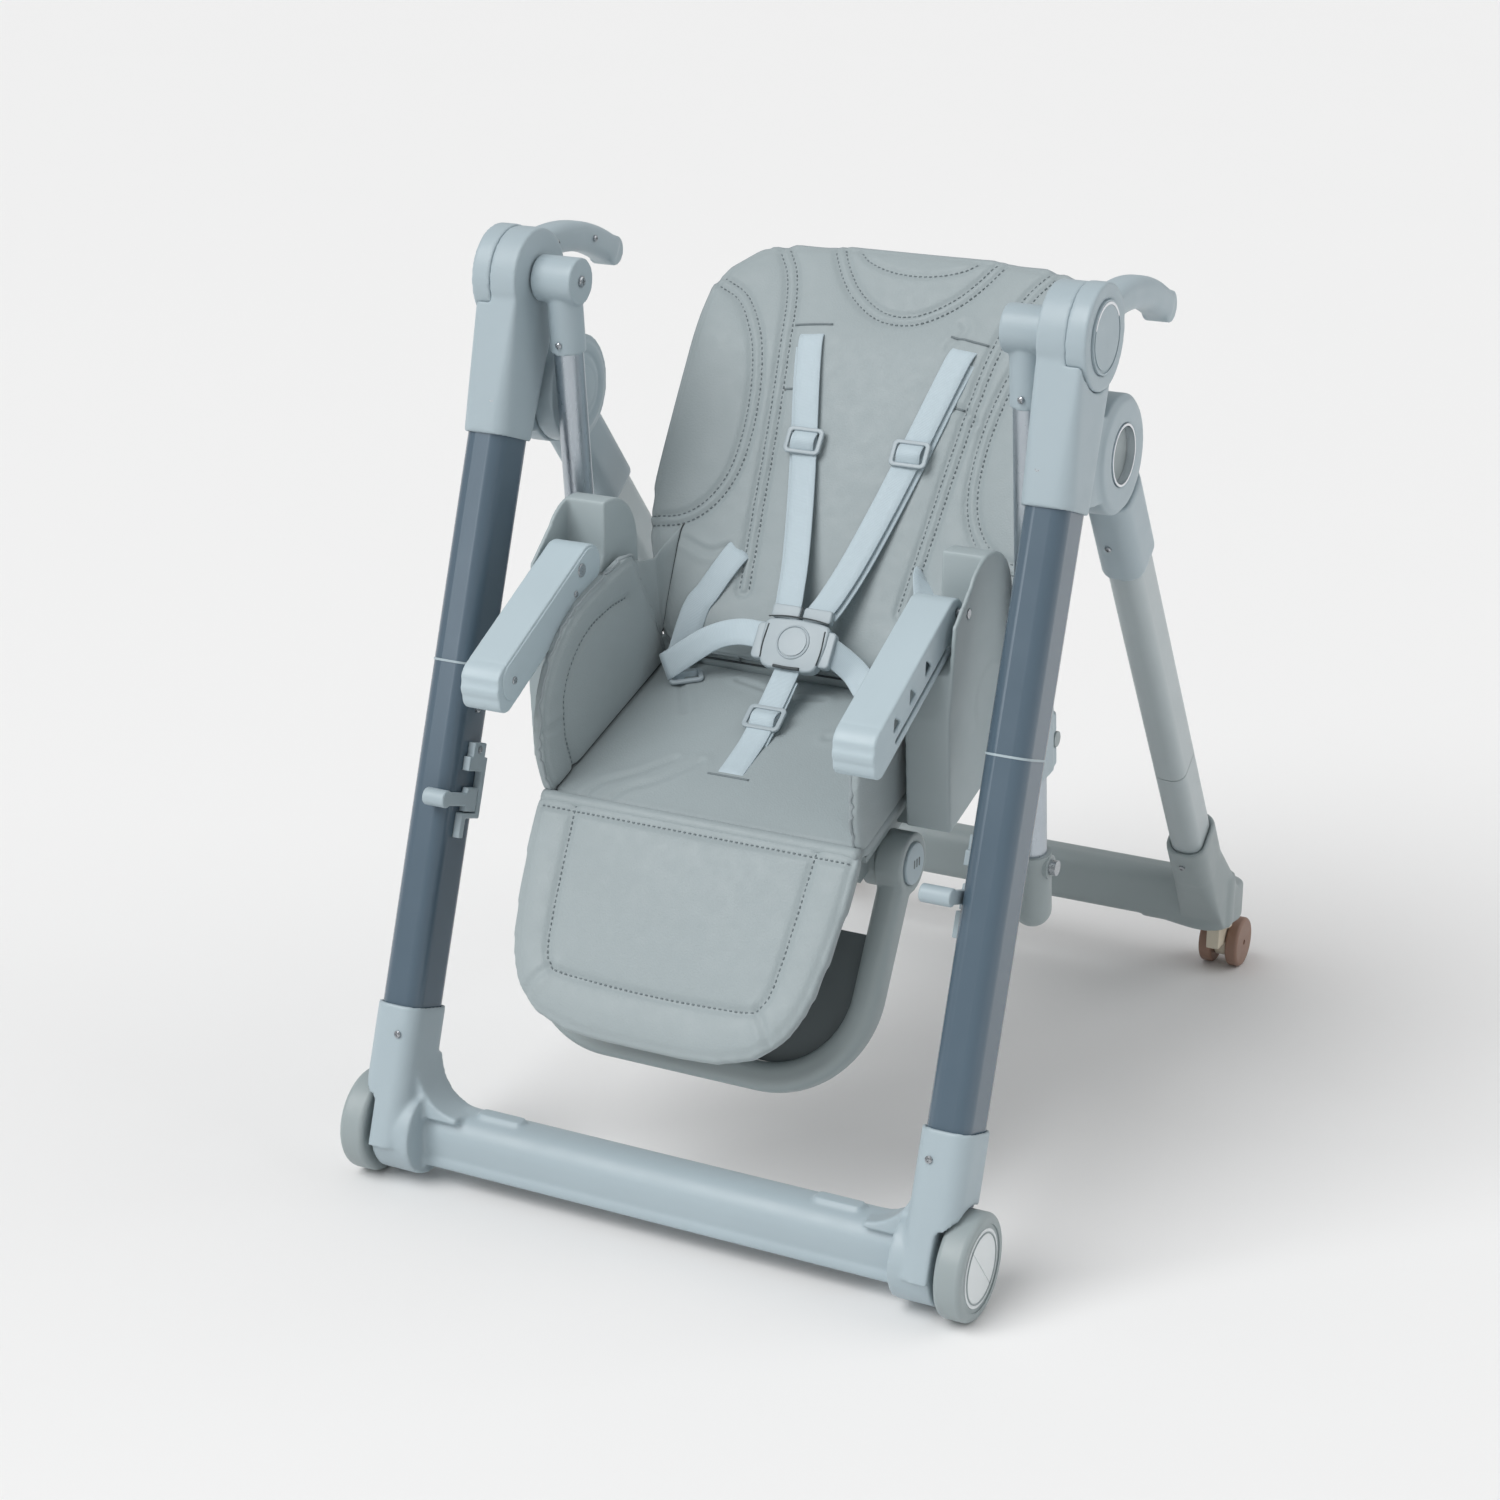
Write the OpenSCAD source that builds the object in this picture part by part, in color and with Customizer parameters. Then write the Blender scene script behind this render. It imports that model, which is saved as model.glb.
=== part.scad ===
// Baby high chair: a folding frame on wheels that carries a hanging, swinging seat
// Millimetres, +Z up. The front of the chair faces -Y.

/* [Front frame] */
// Width over the outer faces of the front wheels
frame_w = 610; // [600:1:630]
// Diameter of the front wheels
wheel_d = 94; // [90:1:98]
// Width of a front leg tube, side to side
leg_w = 40; // [38:1:42]
// Depth of a front leg tube, front to back
leg_d = 54; // [52:1:56]
// Backward lean of the front legs in degrees
leg_lean = 18.35; // [18:0.05:18.6]
// Height of the joint ring on the front legs
ring_z = 452; // [430:1:470]
// Wall of the leg tubes
tube_wall = 2; // [1.5:0.1:3]

/* [Top hubs] */
// Distance of the swing pivot behind the front wheel axle
hub_y = 228; // [226:1:230]
// Height of the swing pivot
hub_z = 786; // [784:1:788]
// Diameter of the top hub
hub_d = 90; // [86:1:92]
// Thickness of the handle horn
horn_t = 28; // [26:1:30]

/* [Rear frame] */
// Distance of the fold pivot behind the front wheel axle
fold_y = 288; // [287:1:289]
// Height of the fold pivot
fold_z = 675; // [674:1:676]
// Diameter of the fold disc
fold_d = 104; // [100:1:106]
// Lean of the rear legs in degrees
rear_lean = 38.4; // [38:0.1:38.6]
// Width of a rear leg tube, side to side
rear_leg_w = 32; // [30:1:34]
// Depth of a rear leg tube, front to back
rear_leg_d = 46; // [44:1:48]
// Height of the rear base bar
base_h = 58; // [54:1:60]
// Diameter of the castor wheels
castor_d = 53; // [50:1:54]

/* [Swing] */
// Diameter of the hanger tubes
hanger_d = 27; // [26:0.5:28]
// Backward slant of the hanger tubes in degrees, going down
hanger_lean = 6.8; // [6.6:0.1:7]
// Distance of a hanger tube from the middle plane
hanger_x = 222; // [221:1:223]

/* [Seat] */
// Length of the seat pan, from its front seam to the crease
pan_l = 226; // [220:1:232]
// Width of the seat pan
pan_w = 312; // [306:1:314]
// Downward tilt of the seat pan at its front, in degrees
pan_tilt = 18; // [17:0.5:19]
// Thickness of the seat cushion
cushion_t = 16; // [14:1:18]
// Height of the side wings above the pan
wing_h = 126; // [120:1:128]

/* [Backrest] */
// Width of the backrest
back_w = 396; // [390:1:398]
// Length of the backrest
back_l = 412; // [400:1:416]
// Lean of the backrest from upright in degrees
back_lean = 31.5; // [31:0.5:32]
// Thickness of the back cushion
back_t = 22; // [20:1:24]

/* [Armrests] */
// Length of an armrest
arm_l = 196; // [190:1:198]
// Width of an armrest
arm_w = 38; // [36:1:38]
// Downward tilt of the armrests at their tips, in degrees
arm_tilt = 27.6; // [27:0.2:28]

/* [Leg rest] */
// Length of the leg rest frame below its pivot
leg_rest_l = 218; // [212:1:220]
// Width of the leg rest frame
leg_rest_w = 344; // [340:1:346]
// Forward slant of the leg rest in degrees
leg_rest_tilt = 28; // [27:0.5:29]
// Length of the leg cushion
leg_pad_l = 204; // [198:1:206]

/* [Hidden] */

$fn = 64;
eps = 0.01;

// Colours
plastic_pale = [0.70, 0.76, 0.78];
plastic_grey = [0.62, 0.67, 0.68];
slate = [0.31, 0.37, 0.43];
silver = [0.75, 0.77, 0.79];
cover_grey = [0.60, 0.64, 0.65];
webbing = [0.74, 0.79, 0.81];

// Clearances
run_fit = 0.08;
gap = 0.4;

// Front frame
wheel_r = wheel_d / 2;
wheel_w = 25;
wheel_x = frame_w / 2 - wheel_w / 2;
axle_r = 5;
leg_x = frame_w / 2 - 37;
leg_foot_y = -28;
sleeve_t = 3.5;
sleeve_low_s = 36;
foot_fillet = 44;
tube_low_s = 101;
sleeve_top_s = 166;
cover_low_s = 682;
tube_top_s = 730;
ring_s = ring_z / cos(leg_lean);
bar_y = 13;
bar_z = 41;
bar_h = 54;
bar_d = 52;
hub_in_x = 246;
hub_out_x = 290;
hub_split_x = 272;
cap_r = 31;

// Fold
fold_split_x = 263;
fold_out_x = 289;
fold_cup_r = 27;
fold_pin_r = 9;
rear_top_x = 272;
rear_slope_x = 0.0484;
rear_joint_s = 475;
rear_base_y = 750;
rear_base_z = 97;
rear_end_s = 622;
castor_r = castor_d / 2;
castor_x = 236;
castor_trail = 28;
castor_y = 822;
stem_r = 5;

// Swing
hanger_r = hanger_d / 2;
t_r = 21;
t_in_x = 204;
t_out_x = 244.2;
swing_pin_r = 8;
hanger_top_s = 26;
hanger_end_s = 520;
guide_top_s = 484;
guide_end_s = 540;
guide_r = 17.5;
latch_pin_s = 496;
slider_s = 368;

// Seat: the crease between pan and back is the seat's own origin
crease_y = 288;
crease_z = 439;
hinge_y = 300;
hinge_z = 428;
hinge_r = 5;
leg_hub_y = -174;
leg_hub_z = -53;

// Footprint: Y is measured from the front wheel axle until the part is placed
foot_mid = (castor_y + castor_r - wheel_r) / 2;

module place() {
  translate([0, -foot_mid, 0]) children();
}

// Both sides: a copy at +X and its mirror image at -X
module both() {
  children();
  mirror([1, 0, 0]) children();
}

// The left-hand copy only
module left() {
  mirror([1, 0, 0]) children();
}

// Rectangle with round corners, kept as true arcs
module round_rect(w, d, r) {
  square([w - 2 * r, d], center = true);
  square([w, d - 2 * r], center = true);
  for (x = [-1, 1], y = [-1, 1]) {
    translate([x * (w / 2 - r), y * (d / 2 - r)]) circle(r);
  }
}

// Cylinder along +X
module xcyl(r, l) {
  rotate([0, 90, 0]) cylinder(r = r, h = l);
}

// Screw head with a cross recess, its flat side down
module screw_head(r = 4.2) {
  difference() {
    union() {
      cylinder(r = r, h = 1.6);
      translate([0, 0, 1.6]) cylinder(r1 = r, r2 = r - 1.2, h = 0.9, $fn = 32);
    }
    translate([0, 0, 2.5]) cube([r * 1.1, 1, 2], center = true);
    translate([0, 0, 2.5]) cube([1, r * 1.1, 2], center = true);
  }
}

// Local frame of the right front leg: origin at the floor, +Z up along the leg
module on_leg() {
  translate([leg_x, leg_foot_y, 0]) rotate([-leg_lean, 0, 0]) children();
}

// Local frame of the right rear leg: origin at the fold pivot, -Z down along the leg
module on_rear_leg() {
  translate([rear_top_x, fold_y, fold_z])
    rotate([rear_lean, 0, 0])
      rotate([0, atan(rear_slope_x), 0]) children();
}

// Local frame of the right hanger: origin at the swing pivot, -Z down along the tube
module on_hanger() {
  translate([hanger_x, hub_y, hub_z]) rotate([hanger_lean, 0, 0]) children();
}

// Local frame of the seat: origin at the crease, -Y forward along the pan
module on_seat() {
  translate([0, crease_y, crease_z]) rotate([pan_tilt, 0, 0]) children();
}

// Local frame of the backrest: origin at the crease, +Z up along the back
module on_back() {
  translate([0, crease_y, crease_z]) rotate([-back_lean, 0, 0]) children();
}

// ---- Front frame ----

module axle_bore(r) {
  translate([0, 0, wheel_r]) translate([210, 0, 0]) xcyl(r, 100);
}

// One end of the crossbar: round wheel housing, sloping foot and sleeve
module bar_end() {
  translate([236, 0, wheel_r]) xcyl(40, 39);
  on_leg() translate([0, 0, sleeve_low_s]) linear_extrude(sleeve_top_s - sleeve_low_s)
    round_rect(leg_w + 2 * sleeve_t, leg_d + 2 * sleeve_t, 16);
  // fillet between the bar and the sleeve's inner face
  translate([leg_x - leg_w / 2 - sleeve_t - foot_fillet, bar_y - 5, bar_z + bar_h / 2 - 6])
    rotate([90 - leg_lean / 2, 0, 0]) linear_extrude(44, center = true) difference() {
      square([foot_fillet + 8, foot_fillet + 6]);
      translate([0, foot_fillet + 6]) circle(foot_fillet);
    }
}

module crossbar_profile() {
  round_rect(bar_d, bar_h, 22);
  translate([0, -bar_h / 2 + 9]) square([bar_d + 4, 8], center = true);
}

module front_crossbar() {
  color(plastic_pale) place() difference() {
    union() {
      translate([0, bar_y, bar_z]) rotate([90, 0, 90])
        linear_extrude(500, center = true) crossbar_profile();
      both() bar_end();
      both() translate([168, bar_y, bar_z + bar_h / 2 - 3]) linear_extrude(7)
        round_rect(46, 15, 6);
    }
    both() axle_bore(axle_r);
    // the sleeves are open for the leg tubes
    both() on_leg() translate([0, 0, tube_low_s]) linear_extrude(100)
      round_rect(leg_w + 2 * run_fit, leg_d + 2 * run_fit, 13);
    // hollow underside of the bar
    translate([0, bar_y, bar_z - 8]) cube([400, bar_d - 10, bar_h - 10], center = true);
    // nothing reaches the floor but the wheels
    translate([0, 0, -44]) cube([700, 200, 100], center = true);
    // room for the inner wheel
    both() translate([275 - eps, 0, wheel_r]) xcyl(wheel_r + 3, 60);
  }
}

module front_axles() {
  color(silver) place() both() translate([214, 0, wheel_r]) xcyl(axle_r, 84.7);
}

module leg_tube(low, high) {
  on_leg() translate([0, 0, low]) linear_extrude(high - low) difference() {
    round_rect(leg_w, leg_d, 13);
    round_rect(leg_w - 2 * tube_wall, leg_d - 2 * tube_wall, 13 - tube_wall);
  }
}

module front_leg_lowers() {
  color(slate) place() both() leg_tube(tube_low_s + eps, ring_s);
}

module front_leg_uppers() {
  color(slate) place() both() leg_tube(ring_s + 2, tube_top_s);
}

module front_leg_spigots() {
  color(plastic_grey) place() both() on_leg() translate([0, 0, ring_s - 40])
    linear_extrude(82) difference() {
      round_rect(leg_w - 2 * tube_wall - 0.2, leg_d - 2 * tube_wall - 0.2, 10.9);
      round_rect(leg_w - 2 * tube_wall - 6, leg_d - 2 * tube_wall - 6, 8);
    }
}

module front_leg_rings() {
  color(plastic_pale) place() both() on_leg() translate([0, 0, ring_s])
    linear_extrude(2) difference() {
      round_rect(leg_w + 1.4, leg_d + 1.4, 13.7);
      round_rect(leg_w - 2 * tube_wall, leg_d - 2 * tube_wall, 11);
    }
}

// Top cover of a front leg: sleeve, hub and the neck to the fold disc
module leg_cover() {
  difference() {
    union() {
      hull() {
        on_leg() translate([0, 0, cover_low_s]) linear_extrude(1)
          round_rect(leg_w + 2 * sleeve_t, leg_d + 2 * sleeve_t, 16, $fn = 32);
        translate([hub_in_x, hub_y, hub_z]) rotate([0, 90, 0])
          cylinder(r = 38, h = hub_out_x - 4 - hub_in_x, $fn = 48);
      }
      translate([hub_in_x, hub_y, hub_z]) xcyl(hub_d / 2 - 1, hub_split_x - hub_in_x);
      // neck and outer fold disc
      translate([fold_split_x, fold_y, fold_z]) xcyl(fold_d / 2, fold_out_x - fold_split_x - 3);
      translate([fold_split_x, fold_y, fold_z]) xcyl(fold_d / 2 - 4, fold_out_x - fold_split_x);
      hull() {
        translate([fold_split_x, fold_y - 26, fold_z]) rotate([0, 90, 0])
          cylinder(r = 36, h = 22, $fn = 32);
        translate([fold_split_x, fold_y - 72, fold_z + 8]) rotate([0, 90, 0])
          cylinder(r = 40, h = 22, $fn = 32);
      }
    }
    // seat of the handle cover
    translate([hub_split_x, hub_y, hub_z]) xcyl(hub_d / 2 + gap, 40);
    // leg tube socket
    on_leg() translate([0, 0, cover_low_s - 10]) linear_extrude(tube_top_s - cover_low_s + 10)
      round_rect(leg_w + 2 * run_fit, leg_d + 2 * run_fit, 13);
    // swing pin bore
    translate([hub_in_x - 10, hub_y, hub_z]) xcyl(swing_pin_r + run_fit, 60);
    // fold pin bore and the cup for the release button
    translate([fold_split_x - 5, fold_y, fold_z]) xcyl(fold_pin_r + run_fit, 60);
    translate([fold_split_x + 6, fold_y, fold_z]) xcyl(fold_cup_r, 60);
    // room for the rear hub inside the fold disc
    translate([fold_split_x - 60, fold_y, fold_z]) xcyl(fold_d / 2 + 2, 60);
  }
}

module leg_cover_right() {
  color(plastic_pale) place() leg_cover();
}

module leg_cover_left() {
  color(plastic_pale) place() left() leg_cover();
}

// Handle cover: the outer hub disc with a horn that arches back over the frame
horn_bend_r = 196;
horn_y = 300;
horn_z = 612;
horn_start = 14.8;
horn_end = 29.3;
horn_in_x = 261;
horn_x = horn_in_x + horn_t / 2;
module handle() {
  difference() {
    union() {
      translate([hub_split_x, hub_y, hub_z]) xcyl(hub_d / 2, hub_out_x - hub_split_x);
      translate([horn_x, horn_y, horn_z]) rotate([90, 0, 90]) rotate([0, 0, 90 - horn_end])
        rotate_extrude(angle = horn_end + horn_start) translate([horn_bend_r, 0])
          round_rect(horn_t, horn_t, 10);
      translate([horn_x, horn_y, horn_z]) rotate([-horn_end, 0, 0])
        translate([0, 0, horn_bend_r]) rotate([0, 90, 0])
          cylinder(r = horn_t / 2, h = horn_t - 4, center = true);
    }
    // the horn's root leaves the leg cover free
    translate([hub_split_x - 40, hub_y, hub_z]) xcyl(hub_d / 2 - 1 + gap, 40);
    translate([hub_out_x - 4, hub_y, hub_z]) xcyl(cap_r + 0.1, 10);
    translate([hub_split_x - 10, hub_y, hub_z]) xcyl(swing_pin_r + run_fit, 20);
  }
}

module handle_right() {
  color(plastic_pale) place() handle();
}

module handle_left() {
  color(plastic_pale) place() left() handle();
}

module hub_caps() {
  color(plastic_pale) place() both() translate([hub_out_x - 4, hub_y, hub_z]) difference() {
    xcyl(cap_r, 5.5);
    translate([4.5, 0, 0]) rotate([0, 90, 0]) difference() {
      cylinder(r = cap_r - 1.5, h = 2);
      cylinder(r = cap_r - 4, h = 2);
    }
  }
}

// Bright arcs in the hub caps and bright linings in the fold discs
module bright_trims() {
  color(silver) place() both() {
    translate([hub_out_x + 0.5, hub_y, hub_z]) rotate([0, 90, 0]) rotate([0, 0, 120])
      rotate_extrude(angle = 130) translate([cap_r - 3.9, 0]) square([2.3, 1.3]);
    translate([fold_split_x + 6, fold_y, fold_z]) rotate([0, 90, 0]) difference() {
      cylinder(r = fold_cup_r - eps, h = fold_out_x - fold_split_x - 5.5);
      translate([0, 0, -1]) cylinder(r = fold_cup_r - 2, h = 30);
    }
  }
}

module fold_button() {
  translate([fold_split_x + 14, fold_y, fold_z]) xcyl(fold_cup_r - 2.2, 5);
}

module fold_button_right() {
  color(plastic_grey) place() fold_button();
}

module fold_button_left() {
  color(plastic_grey) place() left() fold_button();
}

// Latch on a front leg's inner face; side is 1 on the right leg and -1 on the left leg
latch_s = 358;
latch_t = 7.5;
knob_y = -43;
screw_sink = 1.6;
module on_latch(side) {
  translate([side * (leg_x - leg_w / 2), leg_foot_y, 0]) rotate([-leg_lean, 0, 0])
    translate([0, 6, latch_s]) children();
}

// Flat bracket: a window for the slider and, below it, an open corner that takes the latch pin
module latch_bracket(side) {
  on_latch(side) translate([-side * latch_t / 2, 0, 0]) difference() {
    union() {
      cube([latch_t, 30, 74], center = true);
      translate([0, 0, 43]) cube([latch_t, 20, 14], center = true);
    }
    translate([0, -4, 5]) cube([latch_t + 1, 24, 38], center = true);
    translate([0, 4, -28]) cube([latch_t + 1, 24, 18 + eps], center = true);
    // counterbore of the screw
    translate([-side * (latch_t / 2 - screw_sink), 0, 44]) rotate([0, -side * 90, 0])
      cylinder(r = 3.7, h = 3);
  }
}

module latch_brackets() {
  color(plastic_pale) place() {
    latch_bracket(1);
    latch_bracket(-1);
  }
}

// Slider with an arm that reaches past the leg's front; its knob always points towards -X
module latch_slider(side) {
  on_latch(side) translate([-side * latch_t / 2, 0, 0]) {
    translate([0, -1.5, -2]) cube([latch_t - 2 * gap, 18, 22], center = true);
    translate([0, -25, -2]) cube([latch_t - 2 * gap, 42, 12], center = true);
    translate([side < 0 ? 3 : -3, knob_y, -2]) rotate([0, -90, 0]) cylinder(r = 8, h = 22);
    translate([0, knob_y, -2]) rotate([0, 90, 0]) cylinder(r = 8, h = latch_t - 2 * gap, center = true);
  }
}

module latch_slider_right() {
  color(plastic_pale) place() latch_slider(1);
}

module latch_slider_left() {
  color(plastic_pale) place() latch_slider(-1);
}

module front_screws() {
  color(silver) place() {
    both() {
      // front of the foot sleeves and of the leg covers
      on_leg() translate([-8, -leg_d / 2 - sleeve_t, 140]) rotate([90, 0, 0]) screw_head(3.2);
      on_leg() translate([-8, -leg_d / 2 - sleeve_t, 712]) rotate([90, 0, 0]) screw_head(3.2);
      // inner side of the handle horns
      for (lean = [5, -15]) {
        translate([horn_in_x, horn_y, horn_z]) rotate([lean, 0, 0])
          translate([0, 0, horn_bend_r]) rotate([0, -90, 0]) screw_head(3);
      }
      on_leg() translate([-leg_w / 2, 2, ring_s - 38]) rotate([0, -90, 0]) screw_head(3.5);
    }
    for (side = [-1, 1]) {
      on_latch(side) translate([-side * (latch_t - screw_sink), 0, 44]) rotate([0, -side * 90, 0])
        screw_head(3.5);
    }
  }
}

// ---- Wheels ----

module wheel_rim() {
  translate([0, 0, wheel_r]) difference() {
    union() {
      translate([wheel_x - wheel_w / 2, 0, 0]) xcyl(wheel_r - 9, wheel_w - 1);
      translate([wheel_x - wheel_w / 2 - 3, 0, 0]) xcyl(14, 4);
    }
    translate([200, 0, 0]) xcyl(axle_r + run_fit, 100);
    translate([wheel_x + wheel_w / 2 - 6, 0, 0]) xcyl(34.1, 20);
  }
}

module wheel_rim_right() {
  color(plastic_grey) place() wheel_rim();
}

module wheel_rim_left() {
  color(plastic_grey) place() left() wheel_rim();
}

// Outer tyre with rounded shoulders
module wheel_tyre() {
  translate([wheel_x, 0, wheel_r]) rotate([0, 90, 0]) rotate_extrude($fn = 96) difference() {
    translate([wheel_r - 13, 0]) round_rect(26, wheel_w, 5);
    translate([0, -wheel_w]) square([wheel_r - 9, 2 * wheel_w]);
  }
}

module wheel_tyre_right() {
  color(plastic_grey) place() wheel_tyre();
}

module wheel_tyre_left() {
  color(plastic_grey) place() left() wheel_tyre();
}

module wheel_cap() {
  translate([wheel_x + wheel_w / 2 - 6, 0, wheel_r]) difference() {
    xcyl(34, 5.6);
    rotate([40, 0, 0]) translate([5.6, 0, 0]) cube([1.2, 1.4, 64], center = true);
  }
}

module wheel_cap_right() {
  color("white") place() wheel_cap();
}

module wheel_cap_left() {
  color("white") place() left() wheel_cap();
}

// ---- Rear frame ----

rear_hub_in_x = 239.5;
module fold_pins() {
  color(silver) place() both() translate([rear_hub_in_x + 3, fold_y, fold_z])
    xcyl(fold_pin_r, fold_split_x + 6 - rear_hub_in_x - 3);
}

// Rear leg top: inner fold disc and the sleeve that grips the tube
module rear_hub() {
  difference() {
    union() {
      translate([rear_hub_in_x + 2, fold_y, fold_z])
        xcyl(fold_d / 2 - 2, fold_split_x - gap - rear_hub_in_x - 2);
      translate([rear_hub_in_x, fold_y, fold_z]) xcyl(fold_d / 2 - 9, 6);
      difference() {
        on_rear_leg() translate([0, 0, -146]) linear_extrude(120)
          round_rect(rear_leg_w + 8, rear_leg_d + 8, 15);
        // the sleeve stays outside the front cover's disc
        translate([fold_split_x - gap, fold_y, fold_z]) xcyl(fold_d / 2 + 1, 60);
      }
    }
    translate([rear_hub_in_x - 2, fold_y, fold_z]) xcyl(fold_pin_r, 80);
    on_rear_leg() translate([0, 0, -150]) linear_extrude(80)
      round_rect(rear_leg_w + 2 * run_fit, rear_leg_d + 2 * run_fit, 12);
    // groove round the inner disc
    translate([rear_hub_in_x - eps, fold_y, fold_z]) rotate([0, 90, 0]) difference() {
      cylinder(r = 34, h = 1.6);
      translate([0, 0, -1]) cylinder(r = 30, h = 5);
    }
  }
}

module rear_hub_right() {
  color(plastic_pale) place() rear_hub();
}

module rear_hub_left() {
  color(plastic_pale) place() left() rear_hub();
}

module rear_tube(low, high, w, d, wall) {
  on_rear_leg() translate([0, 0, -high]) linear_extrude(high - low) difference() {
    round_rect(w, d, 12);
    round_rect(w - 2 * wall, d - 2 * wall, 12 - wall);
  }
}

module rear_leg_uppers() {
  color(plastic_grey) place() both() {
    rear_tube(70 + eps, rear_joint_s - 1, rear_leg_w, rear_leg_d, tube_wall);
    rear_tube(rear_joint_s - 1 - eps, rear_joint_s + 40, rear_leg_w - 5, rear_leg_d - 5, tube_wall);
    rear_tube(rear_joint_s - 6, rear_joint_s - 1, rear_leg_w - 1, rear_leg_d - 1, tube_wall + 2);
  }
}

module rear_leg_lowers() {
  color(plastic_grey) place() both()
    rear_tube(rear_joint_s, rear_end_s + 60, rear_leg_w, rear_leg_d, tube_wall);
}

// One end of the rear base: the foot that blends the bar, the leg sleeve and the castor housing
module base_end() {
  hull() {
    translate([190, rear_base_y + 4, rear_base_z]) rotate([90, 0, 90])
      linear_extrude(4) round_rect(43, base_h - 1, 15.5, $fn = 32);
    translate([castor_x, rear_base_y + 6, rear_base_z])
      cylinder(r = 27, h = base_h - 4, center = true, $fn = 32);
  }
  hull() {
    translate([castor_x, rear_base_y + 6, rear_base_z - 6])
      cylinder(r = 26, h = base_h - 20, center = true, $fn = 32);
    translate([castor_x, castor_y - castor_trail, rear_base_z - 13])
      cylinder(r = 24, h = 38, center = true, $fn = 32);
  }
  hull() {
    on_rear_leg() translate([0, 0, -rear_end_s - 40]) linear_extrude(2)
      round_rect(rear_leg_w + 9, rear_leg_d + 8, 14.5, $fn = 32);
    translate([castor_x + 2, rear_base_y + 2, rear_base_z]) rotate([0, 90, 0])
      cylinder(r = 27, h = 44, center = true, $fn = 32);
  }
  on_rear_leg() translate([0, 0, -rear_end_s - 42]) linear_extrude(58)
    round_rect(rear_leg_w + 10, rear_leg_d + 9, 15);
}

module rear_base() {
  color(plastic_grey) place() difference() {
    union() {
      translate([0, rear_base_y + 4, rear_base_z]) rotate([90, 0, 90])
        linear_extrude(2 * 232, center = true) round_rect(44, base_h, 16);
      both() base_end();
    }
    both() on_rear_leg() translate([0, 0, -rear_end_s - 60 - run_fit]) linear_extrude(100)
      round_rect(rear_leg_w + 2 * run_fit, rear_leg_d + 2 * run_fit, 12);
    // castor sockets
    both() translate([castor_x, castor_y - castor_trail, 40]) cylinder(r = stem_r + run_fit, h = 57);
    // hollow underside of the bar
    translate([0, rear_base_y + 4, rear_base_z - 8]) cube([340, 34, base_h - 8], center = true);
    // underside, clear of the castors
    translate([0, rear_base_y, 15]) cube([700, 300, 98], center = true);
  }
}

module rear_screws() {
  color(silver) place() both() {
    on_rear_leg() translate([-3, -rear_leg_d / 2 - 4, -100]) rotate([90, 0, 0]) screw_head(3.2);
    on_rear_leg() translate([-3, -rear_leg_d / 2 - 4.5, -rear_end_s - 8]) rotate([90, 0, 0])
      screw_head(3.2);
  }
}

module castor_block() {
  translate([castor_x, castor_y, 0]) difference() {
    union() {
      translate([0, -castor_trail, 40]) cylinder(r = stem_r, h = 56.5);
      translate([0, -castor_trail, castor_d]) cylinder(r = 15, h = 10);
      translate([0, -castor_trail / 2 - 4, castor_r + 16])
        cube([14, castor_trail + 22, 24], center = true);
      translate([-7, 0, castor_r]) xcyl(17, 14);
    }
    translate([-10, 0, castor_r]) xcyl(3 + run_fit, 20);
  }
}

module castor_block_right() {
  color([0.84, 0.80, 0.72]) place() castor_block();
}

module castor_block_left() {
  color([0.84, 0.80, 0.72]) place() left() castor_block();
}

// Twin castor wheels on their axle
module castor_wheels() {
  translate([castor_x, castor_y, castor_r]) {
    translate([-20, 0, 0]) xcyl(3, 40);
    for (side = [-1, 1]) {
      translate([side * 14.5, 0, 0]) rotate([0, 90, 0]) rotate_extrude($fn = 72) {
        intersection() {
          translate([castor_r / 2, 0]) round_rect(castor_r, 13.6, 3.5);
          translate([3, -10]) square([castor_r, 20]);
        }
        translate([3, -6.8]) square([6, 13.6]);
      }
    }
  }
}

module castor_wheels_right() {
  color([0.58, 0.46, 0.40]) place() castor_wheels();
}

module castor_wheels_left() {
  color([0.58, 0.46, 0.40]) place() left() castor_wheels();
}

// ---- Swing ----

module t_joints() {
  color(plastic_pale) place() both() difference() {
    union() {
      translate([t_in_x, hub_y, hub_z]) xcyl(t_r, t_out_x - t_in_x);
      on_hanger() translate([0, 0, -66]) cylinder(r = 16, h = 66);
    }
    translate([214, hub_y, hub_z]) xcyl(swing_pin_r, 60);
    on_hanger() translate([0, 0, -70]) cylinder(r = hanger_r, h = 70 - hanger_top_s);
  }
}

// Swing pivot pins and the latch pins at the ends of the guides
module swing_pins() {
  color(silver) place() both() {
    translate([214 + eps, hub_y, hub_z]) xcyl(swing_pin_r, 66);
    on_hanger() translate([0, 0, -latch_pin_s]) xcyl(7, 24.5);
    translate([t_in_x, hub_y, hub_z]) rotate([0, -90, 0]) screw_head(5);
    on_hanger() translate([0, -15.8, -56]) rotate([90, 0, 0]) screw_head(3);
  }
}

module hanger_tubes() {
  color(silver) place() both() on_hanger() translate([0, 0, -hanger_end_s]) difference() {
    cylinder(r = hanger_r - eps, h = hanger_end_s - hanger_top_s);
    translate([0, 0, -1]) cylinder(r = hanger_r - 1.8, h = hanger_end_s);
    translate([-30, 0, hanger_end_s - latch_pin_s]) xcyl(7, 60);
  }
}

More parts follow.
